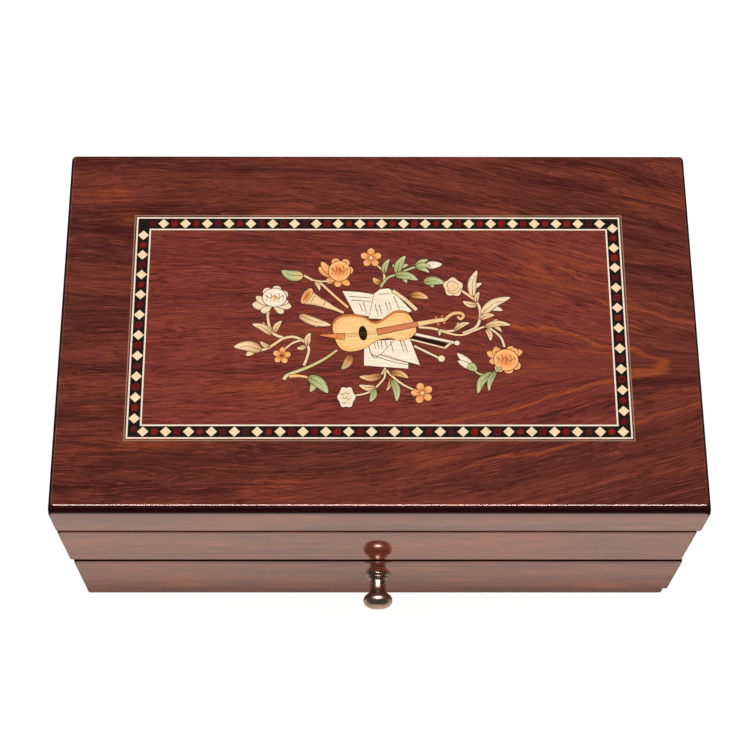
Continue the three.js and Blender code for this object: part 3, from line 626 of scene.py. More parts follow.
# ---- Inlay ----
class Veneers:
    """Thin closed prisms set in the lid's top, each a hair higher than the last. Their tint is in
    the mesh."""

    BOTTOM = -0.06
    START = 0.012
    LIFT = 0.0012

    def __init__(self):
        self.bm = bmesh.new()
        self.tint = self.bm.verts.layers.float_color.new("tint")
        self.height = self.START

    def vert(self, x, y, z, colour):
        v = self.bm.verts.new((LID_CENTRE.x + x * MM, LID_CENTRE.y + y * MM, LID_TOP + z * MM))
        v[self.tint] = linear(colour)
        return v

    def levels(self, points):
        """Vertices for the points (x, y, colour), at the veneer's top and at its bottom."""
        return [[self.vert(x, y, z, c) for x, y, c in points] for z in (self.height, self.BOTTOM)]

    def prism(self, rows):
        """rows are lines of (x, y, colour) across the shape; together they cover its top."""
        self.height += self.LIFT
        tops, lows = zip(*[self.levels(row) for row in rows])
        skin_grid(self.bm, tops, lows)

    def slab(self, outline, colour):
        """A flat prism at the current height."""
        top, low = self.levels([(x, y, colour) for x, y in outline])
        self.bm.faces.new(top)
        self.bm.faces.new(low[::-1])
        for i in range(len(top)):
            j = (i + 1) % len(top)
            self.bm.faces.new((top[j], top[i], low[i], low[j]))

    def polygon(self, outline, colour, edge=0.0):
        """A flat shape. edge is the width of the dark line burnt round it."""
        if edge:
            cx = sum(x for x, _ in outline) / len(outline)
            cy = sum(y for _, y in outline) / len(outline)
            grown = []
            for x, y in outline:
                away = math.hypot(x - cx, y - cy) or 1
                grown.append((x + (x - cx) / away * edge, y + (y - cy) / away * edge))
            self.polygon(grown, INK)
        self.height += self.LIFT
        self.slab(outline, colour)

    def ribbon(self, points, width, colours, edge=0.16, ends=0.05):
        """A strip along a smooth line, darker at its sides. width maps 0-1 to the half width, and
        colours run from its first point to its last."""
        line = smooth_line(points, 5)
        last = len(line) - 1
        passes = [(edge, [INK, INK], 1.0)] if edge else []
        passes.append((0.0, colours, 0.8))
        for grow, tones, side in passes:
            rows = []
            for i, (x, y) in enumerate(line):
                t = i / last
                x0, y0 = line[max(i - 1, 0)]
                x1, y1 = line[min(i + 1, last)]
                length = math.hypot(x1 - x0, y1 - y0) or 1
                dx, dy = (x1 - x0) / length, (y1 - y0) / length
                if i in (0, last):
                    outwards = grow if i else -grow
                    x, y = x + dx * outwards, y + dy * outwards
                half = max(width(t), ends) + grow
                place = t * (len(tones) - 1)
                k = min(int(place), len(tones) - 2)
                tone = [a + (b - a) * (place - k) for a, b in zip(tones[k], tones[k + 1])]
                row = []
                for across in (-1, -0.55, 0, 0.55, 1):
                    shade = [c * (side if abs(across) == 1 else 1) for c in tone]
                    row.append((x - dy * half * across, y + dx * half * across, shade))
                rows.append(row)
            self.prism(rows)

    def stem(self, points, wide, narrow, colours=(WARM_CREAM, CREAM)):
        self.ribbon(points, lambda t: wide + (narrow - wide) * t, colours, 0.14)

    def line(self, points, width=0.22, colour=INK):
        self.ribbon(points, lambda t: width / 2 * (1 - 0.5 * t), (colour, colour), 0, 0.03)

    def leaf(self, base, tip, half, colours=(LIGHT_SCORCH, WARM_CREAM, CREAM), bend=0.1,
             lobes=(), vein=True, blunt=0.75):
        """A leaf or petal from base to tip, bending to the left; lobes are the tips of its side
        leaves, and a higher blunt puts its widest place nearer the tip."""
        (x0, y0), (x1, y1) = base, tip
        middle = ((x0 + x1) / 2 - (y1 - y0) * bend, (y0 + y1) / 2 + (x1 - x0) * bend)

        def between(a, b, share):
            return tuple(p + (q - p) * share for p, q in zip(a, b))

        for lobe in lobes:
            self.leaf(between(base, middle, 0.55), lobe, half * 0.62, colours, 0.08, vein=False)

        def width(t):
            return half * math.sin(math.pi * t**blunt) ** 0.8

        self.ribbon([base, middle, tip], width, colours)
        if vein:
            inner = between(base, tip, 0.78)
            self.line([base, between(middle, inner, 0.1), inner], 0.26, (96, 62, 34))

    def disc(self, centre, rx, ry, colours, turn=0.0, lobes=0, depth=0.0, edge=0.2, points=30):
        """A round shape coloured from its middle to its rim. lobes are waves in its outline."""
        cx, cy = centre
        passes = [(edge, (INK, INK, INK))] if edge else []
        passes.append((0.0, colours))
        for grow, (core, mid, rim) in passes:
            outline = []
            for i in range(points):
                angle = TAU * i / points
                wave = 1 + depth * math.cos(lobes * angle)
                u = (rx * wave + grow) * math.cos(angle)
                v = (ry * wave + grow) * math.sin(angle)
                x = u * math.cos(turn) - v * math.sin(turn)
                outline.append((x, u * math.sin(turn) + v * math.cos(turn)))
            self.height += self.LIFT
            (top, low), (rim_top, rim_low) = [
                self.levels([(cx + x * share, cy + y * share, colour) for x, y in outline])
                for share, colour in ((0.55, mid), (1.0, rim))
            ]
            (hub,), (under,) = self.levels([(cx, cy, core)])
            for i in range(points):
                j = (i + 1) % points
                self.bm.faces.new((hub, top[i], top[j]))
                self.bm.faces.new((top[i], rim_top[i], rim_top[j], top[j]))
                self.bm.faces.new((under, low[j], low[i]))
                self.bm.faces.new((low[i], low[j], rim_low[j], rim_low[i]))
                self.bm.faces.new((rim_top[i], rim_low[i], rim_low[j], rim_top[j]))

    def finish(self, name, replaces=()):
        return piece(name, self.bm, INLAY, "lid", replaces, crease=30)


def banding():
    """Cream and red lozenges in a black strip, between white lines."""
    v = Veneers()
    half_x, half_y = BAND_HALF.x / MM, BAND_HALF.y / MM
    line, strip, pitch = 0.62, 5.9, 8.86

    def frame_line(outset, width, colour):
        """A line round the lid, whose outer edge lies outside the banding by outset."""
        corners = ((1, 1), (-1, 1), (-1, -1), (1, -1), (1, 1))
        outer, inner = [
            [(sx * (half_x + grow), sy * (half_y + grow)) for sx, sy in corners]
            for grow in (outset, outset - width)
        ]
        v.height += v.LIFT
        for i in range(4):
            v.slab([outer[i], outer[i + 1], inner[i + 1], inner[i]], colour)

    frame_line(0.0, strip, BLACK)
    frame_line(0.95, 0.42, (150, 120, 100))
    frame_line(0.0, line, WHITE_WOOD)
    frame_line(line - strip, line, WHITE_WOOD)
    random.seed(41)
    reds = [(122, 28, 22), (96, 24, 24), (74, 38, 30), (128, 32, 24), (66, 28, 27), (84, 26, 24)]

    def lozenge(x, y):
        rx, ry = 2.2, 2.12
        v.polygon([(x + rx, y), (x, y + ry), (x - rx, y), (x, y - ry)], CREAM)

    def red(x, y):
        bright, dull = random.choice(reds), random.choice(reds)
        v.disc((x, y), 1.62, 1.5, (bright, bright, dull), TAU / 8, 4, 0.1, 0, 12)

    row, column = half_y - strip / 2, half_x - strip / 2
    for side, count, start in ((-1, 22, -91.6), (1, 21, -87.2)):
        for i in range(count):
            lozenge(start + pitch * i, side * row)
            if side > 0 or i < count - 1:
                red(start + pitch * (i - 0.5 * side), side * row)
    for side, start in ((-1, -39.8), (1, -36.6)):
        for i in range(10):
            lozenge(side * column, start + pitch * i)
            red(side * column, start + pitch * (i - 0.5))
    v.finish("inlay_banding", ["inlay_banding"])


def flowers():
    """Peonies, stars and two round flowers."""
    v = Veneers()
    cream_petal = (WARM_CREAM, CREAM, CREAM)
    orange_petal = (DEEP_ORANGE, ORANGE, PEACH)

    def peony(cx, cy, w, h, core, petal, base, outer, lobes):
        """outer holds the tips and half widths of the petals that spread from base, and lobes the
        round petals behind the heart."""
        for tip, half in outer:
            v.leaf(base, tip, half, petal, 0.05, vein=False, blunt=1.5)
        for x, y, r in lobes:
            v.disc((x, y), r, r, petal, points=20)
        v.disc((cx, cy), w / 2, h / 2, core, edge=0.26)
        for k in range(5):
            x = cx + w * (0.17 * (k - 2))
            top = cy + h * (0.16 + 0.1 * (k % 2))
            v.line([(x, top), (x + w * 0.05, cy + h * 0.02), (x - w * 0.03, cy - h * 0.2)], 0.24)
        folds = (
            ((-0.4, 0.12), (-0.2, -0.02), (-0.05, 0.12)),
            ((-0.02, 0.1), (0.18, -0.04), (0.38, 0.14)),
        )
        for fold in folds:
            v.line([(cx + w * x, cy + h * y) for x, y in fold], 0.3, SCORCH)

    peony(
        -41.6, 12.1, 9.4, 8.0, (PEACH, WHITE_WOOD, WHITE_WOOD), cream_petal, (-42.4, 8.6),
        [((-50.4, 9.2), 1.9), ((-49.0, 12.6), 1.5), ((-46.9, 5.9), 1.5), ((-38.0, 5.2), 1.5),
         ((-34.8, 8.1), 1.7), ((-36.0, 10.4), 1.4)],
        [(-40.8, 15.4, 1.9), (-44.5, 14.6, 1.8), (-37.9, 13.4, 1.7)],
    )
    peony(
        -15.7, 23.9, 8.6, 8.8, (DEEP_ORANGE, ORANGE, PEACH), orange_petal, (-16.6, 20.6),
        [((-24.0, 25.6), 1.7), ((-23.0, 28.0), 1.5), ((-21.2, 19.4), 1.4), ((-16.4, 16.8), 1.6),
         ((-11.6, 17.6), 1.4)],
        [(-13.4, 27.4, 1.8), (-17.2, 27.8, 1.7), (-11.9, 24.2, 1.7)],
    )
    peony(
        50.0, -15.0, 9.6, 9.0, (DEEP_ORANGE, ORANGE, PEACH), orange_petal, (49.8, -14.6),
        [((42.6, -11.6), 1.6), ((45.6, -9.4), 1.6), ((53.0, -9.2), 1.6), ((56.6, -11.2), 1.6),
         ((43.4, -15.6), 1.5)],
        [(47.4, -18.2, 1.9), (50.9, -18.9, 1.9), (53.9, -17.4, 1.8), (46.4, -11.6, 1.7),
         (53.2, -11.6, 1.7)],
    )

    def star(cx, cy, r, turn, petal, core):
        for k in range(5):
            angle = turn + TAU * k / 5
            tip = (cx + r * math.cos(angle), cy + r * math.sin(angle))
            v.leaf((cx, cy), tip, r * 0.36, petal, 0.0, vein=False, blunt=1.5)
            inner = (cx + r * 0.5 * math.cos(angle), cy + r * 0.5 * math.sin(angle))
            v.line([(cx, cy), inner], 0.28)
        v.disc((cx, cy), r * 0.17, r * 0.17, (core,) * 3, points=12, edge=0.12)

    star(-3.0, 29.8, 4.3, 0.31, orange_petal, WARM_CREAM)
    star(16.8, -29.1, 4.4, 0.56, orange_petal, WARM_CREAM)
    star(-38.3, -13.2, 3.6, 0.2, orange_petal, (150, 70, 40))

    v.disc((29.8, 16.7), 3.7, 4.0, (WARM_CREAM, WARM_CREAM, CREAM), 0.3, 5, 0.1)
    v.disc((29.6, 17.2), 2.0, 2.1, (PEACH, WARM_CREAM, CREAM), 0.1, 3, 0.08)
    v.line([(27.4, 15.2), (29.0, 14.0), (31.6, 14.4), (32.8, 16.4)], 0.28)
    v.disc((-12.8, -30.9), 3.3, 4.3, (CREAM, CREAM, WHITE_WOOD), 0.0, 6, 0.09)
    for dx, dy in ((-1.4, 1.7), (0.5, 2.0), (-0.6, 0.0), (1.0, -0.4), (-0.9, -2.0)):
        x, y = -12.8 + dx, -30.9 + dy
        v.line([(x - 0.9, y), (x, y - 0.7), (x + 0.8, y + 0.2)], 0.26)
    v.finish("inlay_flowers")


def foliage():
    """Stems, leaves and buds."""
    v = Veneers()
    cream = (WARM_CREAM, CREAM, CREAM)
    white = (CREAM, WHITE_WOOD, WHITE_WOOD)
    green = (DULL_GREEN, GREEN, (206, 206, 158))
    brown = (SCORCH, BROWN_LEAF, WARM_CREAM)
    pale = ((206, 196, 128), (226, 216, 160))

    # left: the white peony's stem and the branch under it
    v.stem([(-43.6, 8.0), (-44.1, 3.0), (-42.2, -3.2), (-37.7, -5.5)], 0.45, 0.6)
    v.leaf((-42.4, -4.0), (-50.2, 0.4), 1.5, bend=-0.1, lobes=[(-45.8, 1.2)])
    v.leaf((-41.4, -3.2), (-38.6, 1.9), 1.2)
    v.stem([(-47.1, -11.0), (-43.8, -9.9), (-40.6, -7.7), (-37.7, -5.7), (-33.6, -5.1),
           (-30.0, -6.8), (-27.7, -9.9), (-28.3, -13.9), (-29.6, -17.4)], 0.55, 0.5)
    v.stem([(-37.2, -10.4), (-34.0, -7.7), (-30.8, -6.6)], 0.4, 0.4)
    v.leaf((-28.2, -8.8), (-27.2, -3.4), 1.3)
    v.leaf((-28.8, -9.0), (-32.4, -10.0), 0.9)
    v.leaf((-46.4, -10.9), (-57.3, -9.4), 2.2, bend=-0.1, lobes=[(-52.4, -13.2)])
    v.leaf((-43.2, -9.4), (-46.9, -7.1), 0.9)
    v.stem([(-16.5, -10.8), (-21.8, -14.8), (-28.3, -18.3), (-35.7, -21.4), (-37.3, -23.4)],
           0.45, 0.75, pale)
    v.stem([(-35.3, -22.0), (-31.6, -21.8), (-27.9, -22.5)], 0.7, 0.45, (PEACH, PEACH))
    v.leaf((-27.9, -22.3), (-20.0, -29.1), 2.2, green, lobes=[(-26.9, -28.6)])
    v.leaf((-11.2, -12.8), (-14.7, -19.0), 1.7, (SCORCH, BROWN_LEAF, GREEN))

    # top left: green bud and branch
    bud = (PEACH, GREEN, GREEN)
    v.leaf((-30.2, 21.8), (-39.0, 24.0), 2.3, bud, bend=0.12, lobes=[(-36.4, 20.8)])
    v.stem([(-30.0, 21.9), (-26.3, 19.8), (-23.4, 18.5), (-18.0, 13.2), (-12.2, 7.7)], 0.45, 0.5,
           (CREAM, PEACH))
    v.stem([(-26.3, 19.8), (-23.0, 19.2), (-19.4, 19.6)], 0.4, 0.3)
    v.leaf((-25.5, 19.2), (-23.6, 15.2), 0.8, vein=False)

    # top: the star's stem and the green sprig
    v.stem([(-1.2, 27.0), (1.6, 24.0), (2.3, 20.4), (0.9, 16.6)], 0.35, 0.45)
    v.leaf((1.1, 18.4), (-2.2, 20.8), 1.3, brown)
    v.leaf((2.2, 22.7), (4.4, 29.2), 1.2, green)
    v.stem([(0.9, 17.0), (3.5, 20.7), (7.0, 22.3), (12.1, 24.7), (15.4, 25.8)], 0.55, 0.45,
           (GREEN, GREEN))
    v.leaf((7.4, 22.7), (10.9, 30.7), 1.7, green, lobes=[(12.0, 26.6), (5.8, 26.8)])
    v.leaf((6.6, 22.0), (15.7, 19.9), 1.7, green, lobes=[(11.2, 18.6)])
    v.leaf((19.0, 26.4), (25.6, 26.9), 1.7, white, 0.0, vein=False)
    for tip in ((20.4, 23.2), (20.0, 29.0), (21.0, 26.0)):
        v.leaf((14.9, 25.8), tip, 1.1, green, vein=False)
    v.leaf((18.0, 18.9), (26.3, 18.6), 1.9, green, lobes=[(22.2, 20.9), (21.8, 16.6)])
    v.leaf((12.3, 13.0), (19.8, 11.8), 1.6, brown)

    # right: the round flower's stem and its leaves
    v.stem([(32.8, 15.4), (37.4, 11.9), (39.8, 8.8), (40.4, 4.8), (39.8, 1.3), (38.0, -1.4),
           (33.3, -3.6)], 0.5, 0.6)
    v.leaf((37.6, 12.6), (39.6, 24.2), 1.7, cream, lobes=[(41.4, 18.4), (36.0, 17.6)])
    v.leaf((39.0, 10.0), (40.2, 14.6), 1.0)
    v.leaf((39.2, 8.8), (33.6, 10.4), 1.3)
    v.leaf((40.7, 4.6), (52.6, 12.2), 1.9, cream, lobes=[(45.0, 10.6), (49.4, 6.4)])
    v.leaf((40.2, 2.6), (46.0, 4.4), 1.2)
    v.stem([(15.8, -0.9), (21.1, -1.4), (26.8, -2.7), (30.9, -2.0)], 0.5, 0.5)
    v.leaf((30.0, -2.2), (36.0, 1.0), 1.1, lobes=[(31.6, 1.2)])
    v.leaf((23.6, -1.8), (24.0, -4.6), 0.6, vein=False)
    v.stem([(23.9, -2.4), (32.1, -4.4), (38.2, -2.2), (42.3, -0.7), (45.6, -2.6), (48.4, -5.6),
           (49.6, -9.5)], 0.4, 0.45)
    v.leaf((42.0, -0.7), (52.3, 0.1), 1.3, lobes=[(48.8, -2.9), (47.2, 2.4)])
    v.leaf((42.7, -1.6), (44.2, -6.8), 1.1)

    # lower right: the white buds and their green leaves
    v.stem([(37.4, -19.6), (40.2, -21.3), (44.8, -20.6), (48.0, -18.2)], 0.4, 0.45, (GREEN, GREEN))
    v.leaf((36.6, -17.6), (30.8, -12.2), 1.5, white, 0.0, vein=False)
    v.leaf((36.2, -18.4), (31.0, -15.4), 1.3, white, 0.0, vein=False)
    v.disc((36.7, -18.2), 1.9, 1.6, (DULL_GREEN, GREEN, GREEN), -0.7, 3, 0.12)
    v.leaf((44.7, -20.5), (38.6, -29.3), 1.6, green, bend=-0.16)
    v.leaf((45.8, -20.1), (42.9, -28.2), 1.1, green, bend=-0.1)

    # bottom sprig
    v.stem([(2.5, -18.4), (0.7, -21.6), (-1.8, -23.2)], 0.4, 0.4)
    v.leaf((1.2, -21.6), (-7.7, -22.2), 1.5, brown)
    v.stem([(2.3, -19.6), (1.9, -23.0), (-2.2, -27.6), (-5.6, -29.4), (-9.3, -30.2)], 0.4, 0.35)
    v.leaf((-1.4, -26.8), (-7.9, -25.8), 1.3)
    v.leaf((-2.0, -27.4), (-3.6, -32.8), 1.3, green)
    v.leaf((4.6, -22.4), (2.9, -28.2), 0.9, brown)
    v.leaf((5.1, -23.4), (6.8, -32.6), 1.5, green)
    v.stem([(2.7, -19.4), (6.4, -23.2), (10.0, -26.0), (13.3, -27.6)], 0.5, 0.35)
    v.leaf((4.3, -20.5), (11.5, -22.7), 1.4, brown)
    v.finish("inlay_foliage")


def music():
    """Sheets of music, bow, horn and violin."""
    v = Veneers()
    grey = (120, 104, 88)
    sheet_tone = (244, 232, 208)
    v.leaf((-31.8, 4.4), (-19.0, 0.0), 1.8, bend=-0.05, lobes=[(-28.6, 1.2), (-24.6, -0.8)])
    left_page = [(-14.5, 15.0), (-8.0, 14.6), (-1.6, 13.5), (0.5, 3.0), (-9.6, 5.0)]
    right_page = [
        (-1.8, 13.8), (0.6, 15.8), (3.9, 16.2), (5.6, 15.0), (13.2, 6.2), (4.0, 2.6), (-4.0, 3.0),
    ]
    v.polygon(left_page, sheet_tone, 0.25)
    v.polygon(right_page, sheet_tone, 0.25)
    v.ribbon([(5.6, 15.2), (10.4, 11.4), (15.1, 6.7)], lambda t: 0.75, (WARM_CREAM, CREAM))
    notes = [
        ((-7.7, 9.5), (-6.1, 5.7)), ((-6.1, 10.1), (-4.7, 4.8)), ((-1.5, 9.2), (-0.2, 3.9)),
        ((0.1, 9.0), (1.3, 4.4)), ((2.7, 10.1), (3.9, 6.1)), ((4.1, 10.1), (5.1, 6.6)),
        ((6.0, 12.8), (8.4, 6.6)), ((-11.6, 12.6), (-3.4, 12.0)), ((-10.9, 11.0), (-2.9, 10.4)),
        ((0.0, 13.6), (4.6, 13.9)),
    ]
    v.polygon([(-5.8, -7.0), (-5.9, -17.4), (11.5, -18.7), (11.6, -6.0)], sheet_tone, 0.25)
    folded = [(7.6, -5.0), (11.9, -5.0), (16.1, -17.2), (7.0, -15.0), (0.6, -12.9)]
    v.polygon(folded, WHITE_WOOD, 0.25)
    curl = [(-4.2, -8.5), (-2.9, -12.7), (-1.2, -14.2), (0.8, -12.7), (9.0, -15.3), (15.6, -17.1)]
    v.line(curl, 0.34)
    v.line([(-3.0, -12.6), (3.5, -15.2), (11.5, -17.2)], 0.34)
    notes += [
        ((-1.8, -7.2), (-1.4, -10.3)), ((-0.6, -7.2), (0.0, -10.1)), ((0.9, -6.8), (1.3, -10.3)),
        ((2.3, -6.2), (3.3, -10.1)), ((8.4, -6.6), (9.8, -11.7)), ((9.8, -6.8), (11.3, -11.9)),
        ((4.6, -7.0), (5.8, -12.0)),
    ]
    for a, b in notes:
        v.line([a, b], 0.36, grey)

    # bow and stick
    v.stem([(14.5, -3.9), (30.4, -7.7)], 0.6, 0.5, (WHITE_WOOD, WHITE_WOOD))
    v.disc((30.9, -7.7), 1.0, 1.0, (CREAM, CREAM, WHITE_WOOD), points=16)
    v.stem([(12.5, -5.3), (26.4, -8.4)], 0.7, 0.5, (BLACK, BLACK))
    v.stem([(12.5, -6.1), (26.0, -9.9)], 0.34, 0.3, (CREAM, CREAM))
    v.stem([(26.0, -9.9), (28.6, -7.6)], 0.5, 0.4, (WARM_CREAM, CREAM))
    v.stem([(13.9, -9.0), (23.5, -14.1)], 0.45, 0.45, (CREAM, CREAM))
    v.disc((24.6, -14.4), 1.35, 1.35, (WARM_CREAM, CREAM, CREAM), points=18)

    # horn
    v.ribbon(
        [(-28.1, 12.2), (-21.6, 9.2), (-14.0, 5.4)],
        lambda t: 0.5 + 2.9 * (1 - t) ** 1.8 + 0.3 * math.exp(-((t - 0.55) * 12) ** 2),
        (WARM_CREAM,) * 3,
    )
    v.disc((-28.7, 12.8), 3.8, 1.6, ((168, 92, 52), (214, 142, 76), PEACH), math.atan2(3.3, 1.9))
    v.line([(-25.6, 12.9), (-27.2, 9.6)], 0.3)
    v.line([(-21.3, 10.2), (-22.4, 7.6)], 0.34)

    # violin
    body = [
        (-18.3, -0.5), (-17.3, 1.5), (-14.9, 3.3), (-10.8, 3.9), (-5.9, 3.1), (-2.6, 0.9),
        (-0.3, 0.8), (1.5, 1.7), (4.3, 3.9), (6.8, 5.3), (10.4, 5.3), (12.5, 3.9), (14.1, 0.8),
        (14.8, -1.9), (14.1, -3.9), (11.7, -5.8), (8.0, -6.6), (5.5, -5.8), (2.2, -5.8),
        (-1.4, -7.0), (-5.9, -10.2), (-11.2, -11.4), (-14.9, -10.3), (-16.9, -7.2),
        (-17.4, -4.5), (-18.2, -2.5),
    ]
    outline = smooth_line([*body, body[0]], 3)[:-1]
    v.polygon([(x - 0.3, y + 0.9) for x, y in outline], (206, 120, 66), 0.25)
    v.polygon(outline, (244, 190, 122), 0.22)
    inner = [(-1.6 + (x + 1.6) * 0.9, -2.4 + (y + 2.4) * 0.82) for x, y in outline]
    v.polygon(inner, (249, 204, 138))
    v.disc((-6.3, -3.5), 1.6, 3.1, (BLACK, BLACK, INK), 0.1, points=20, edge=0.1)
    tailpiece = [(-23.2, -4.4), (-18.0, -4.7), (-13.6, -5.0)]
    fingerboard = [(-0.6, -3.0), (7.6, -1.2), (15.8, 0.6)]
    neck = [(15.6, 0.5), (21.0, 1.6), (26.8, 2.6)]
    scroll = [(26.4, 2.5), (29.2, 4.9), (32.5, 5.3), (33.7, 4.0), (32.5, 2.7), (31.3, 3.8)]
    v.ribbon(tailpiece, lambda t: 0.25 + 1.3 * t, (DEEP_ORANGE, ORANGE))
    v.ribbon(fingerboard, lambda t: 1.4 - 0.35 * t, ((226, 132, 84), (226, 140, 96)))
    for shift in (-0.7, 0.0, 0.7):
        string = [(-17.0, -4.8 + shift), (-0.6, -3.0 + shift), (15.8, 0.6 + shift * 0.7)]
        v.line(string, 0.16, (120, 74, 40))
    v.ribbon(neck, lambda t: 1.1 - 0.3 * t, [(246, 206, 150)] * 2)
    v.ribbon(scroll, lambda t: 0.72 - 0.2 * t, [(240, 190, 130)] * 2)
    for x, y in ((22.8, 3.4), (25.2, 3.9), (23.6, 0.4), (26.0, 1.0)):
        v.disc((x, y), 0.55, 0.55, (DEEP_ORANGE,) * 3, points=10, edge=0.1)
    v.finish("inlay_music")


banding()
foliage()
flowers()
music()


# ---- Knob, screws and the movement's finer parts ----
def knob():
    low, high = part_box("drawer_knob")
    centre = ((low.x + high.x) / 2, 0, (low.z + high.z) / 2)
    profile = [  # radius, and distance in front of the drawer
        (0, 0), (5.3, 0), (5.45, 0.35), (5.3, 0.9), (4.6, 1.5), (4.5, 2.0), (3.7, 3.0), (3.4, 5.0),
        (3.45, 7.0), (4.2, 8.4), (5.55, 9.6), (6.1, 11.0), (6.0, 12.2), (5.2, 13.4), (3.4, 14.3),
        (0, 14.7),
    ]
    line = smooth_line([(r * MM, high.y - d * MM) for r, d in profile], 4)
    (_, start), *between, (_, end) = line
    closed = [(0, start), *[(max(r, 1e-6), y) for r, y in between], (0, end)]
    bm = bmesh.new()
    lathe(bm, closed, 1, centre)
    piece("drawer_knob", bm, NICKEL, "drawer", ["drawer_knob"])


def slotted_head(bm, centre, axis, radius, base, height):
    """A domed screw head with a slot: two halves on a disc."""
    disc_top = base + height * 0.45
    lathe(bm, [(0, base), (radius, base), (radius, disc_top), (0, disc_top)], axis, centre, 32)
    u, v = (axis + 1) % 3, (axis + 2) % 3
    gap = radius * 0.16
    for side in (-1, 1):
        loops = []
        for rise, share in ((0.4, 0.98), (0.75, 0.93), (1.0, 0.72)):
            loop = []
            start = math.asin(gap / (radius * share))
            for i in range(15):
                angle = start + (math.pi - 2 * start) * i / 14
                p = list(centre)
                p[axis] = base + height * rise
                p[u] += radius * share * math.cos(angle)
                p[v] += side * radius * share * math.sin(angle)
                loop.append(p)
            loops.append(loop if side > 0 else loop[::-1])
        loft(bm, loops)


def screw(node, axis, shank, seat, body):
    """A screw that stands along an axis, its head on the seat."""
    low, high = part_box(node)
    centre = (low + high) / 2
    bm = bmesh.new()
    lathe(bm, [(0, low[axis]), (shank, low[axis]), (shank, seat), (0, seat)], axis, centre, 16)
    slotted_head(bm, centre, axis, (high.x - low.x) / 2, seat, high[axis] - seat)
    piece(node, bm, STEEL, body, [node])


def bed_screws():
    low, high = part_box("movement_frame")
    bed = low.z + 2.5 * MM
    bm = bmesh.new()
    for x in (low.x + 4 * MM, high.x - 5 * MM):
        for y in (low.y + 4.5 * MM, high.y - 4.5 * MM):
            slotted_head(bm, (x, y, 0), 2, 2.1 * MM, bed, 1.3 * MM)
    piece("bed_screws", bm, STEEL, "case")


def cylinder_pins():
    """The pins that pluck the comb, one track for each tooth."""
    comb_low, comb_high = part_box("comb")
    axis_z = (comb_low.z + comb_high.z) / 2
    joint = next(j for j in frame["joints"] if j["name"] == "cylinder_spin")
    axis_x = joint["pos_m"][0]
    drum = 6.5 * MM
    teeth = 18
    pitch = (comb_high.y - comb_low.y) / teeth
    random.seed(7)
    bm = bmesh.new()
    for tooth in range(teeth):
        y = comb_low.y + (tooth + 0.42) * pitch
        angle = random.uniform(0, 0.5)
        while angle < TAU:
            loops = []
            for out, size in ((-0.1, 0.17), (0.42, 0.15), (0.62, 0.1)):
                loop = []
                for k in range(6):
                    turn = TAU * k / 6
                    across = size * MM * math.cos(turn)
                    r = drum + out * MM
                    x = axis_x + r * math.cos(angle) - across * math.sin(angle)
                    z = axis_z + r * math.sin(angle) + across * math.cos(angle)
                    loop.append((x, y + size * MM * math.sin(turn), z))
                loops.append(loop)
            loft(bm, loops)
            angle += random.choice((0.24, 0.36, 0.36, 0.48, 0.72))
    piece("cylinder_pins", bm, STEEL, "cylinder")


def worm_thread():
    """Four threads wound on the governor's arbor."""
    low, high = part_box("governor_fly")
    cx, cy = (low.x + high.x) / 2, (low.y + high.y) / 2
    bottom, top, lead = 66.3 * MM, 75.7 * MM, 6.28 * MM
    starts, steps = 4, 48
    bm = bmesh.new()
    for start in range(starts):
        loops = []
        for i in range(steps + 1):
            z = bottom + (top - bottom) * i / steps
            angle = TAU * ((z - bottom) / lead + start / starts)
            loops.append([
                (cx + r * MM * math.cos(angle), cy + r * MM * math.sin(angle), z + dz * MM)
                for r, dz in ((1.7, -0.35), (2.02, -0.1), (2.02, 0.1), (1.7, 0.35))
            ])
        loft(bm, loops)
    piece("worm_thread", bm, STEEL, "governor")


knob()
for comb_screw in ("comb_screw_1", "comb_screw_2"):
    screw(comb_screw, 2, 1.1 * MM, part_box("comb")[1].z, "case")
bed_screws()
screw("knob_screw", 1, 1.8 * MM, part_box("drawer_front")[1].y, "drawer")
cylinder_pins()
worm_thread()


# ---- Velvet walls, linings and pads ----
for wall in ("tray_wall_long", "tray_wall_movement", "tray_wall_rings", "drawer_divider"):
    board(wall, "left right front back top", VELVET, "velvet", radius=1.25)


def pad(node, puff, border=2.5, upward=True, hollow=None):
    """A lining of velvet over thin wadding: rolled edges and a soft, uneven face. hollow is a node
    that presses its middle flat."""
    low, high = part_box(node)
    thickness = high.z - low.z
    border *= MM
    step = 3.0 * MM

    def places(a, b):
        """Lines across the pad, closer together over its rolled edges."""
        count = max(8, round((b - a) / step))
        edge = [a, a + 0.25 * border, a + 0.6 * border, a + border]
        inside = [a + border + (b - a - 2 * border) * i / count for i in range(1, count)]
        return [*edge, *inside, *[a + b - e for e in reversed(edge)]]

    xs, ys = places(low.x, high.x), places(low.y, high.y)
    random.seed(len(node))
    bumps = [
        (random.uniform(low.x, high.x), random.uniform(low.y, high.y), random.uniform(-1, 1))
        for _ in range(40)
    ]

    def face(x, y):
        inset = min(x - low.x, high.x - x, y - low.y, high.y - y)
        roll = math.sqrt(max(0.0, 1 - (1 - min(inset / border, 1)) ** 2))
        reach = 14 * MM
        wave = sum(k * math.exp(-((x - bx) ** 2 + (y - by) ** 2) / reach**2) for bx, by, k in bumps)
        rise = puff * (0.7 + 0.25 * wave)
        if hollow:
            h_low, h_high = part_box(hollow)
            outside = max(h_low.x - x, x - h_high.x, h_low.y - y, y - h_high.y)
            rise *= min(max(outside / (5 * MM), -0.05), 1)
        return thickness * (0.35 + 0.65 * roll) + rise * MM * roll

    bm = bmesh.new()
    base, sign = (low.z, 1) if upward else (high.z, -1)
    tops = [[bm.verts.new((x, y, base + sign * face(x, y))) for y in ys] for x in xs]
    flats = [[bm.verts.new((x, y, base)) for y in ys] for x in xs]
    skin_grid(bm, tops, flats)
    obj = piece(node, bm, VELVET, body_of(node), [node], crease=70)
    return obj


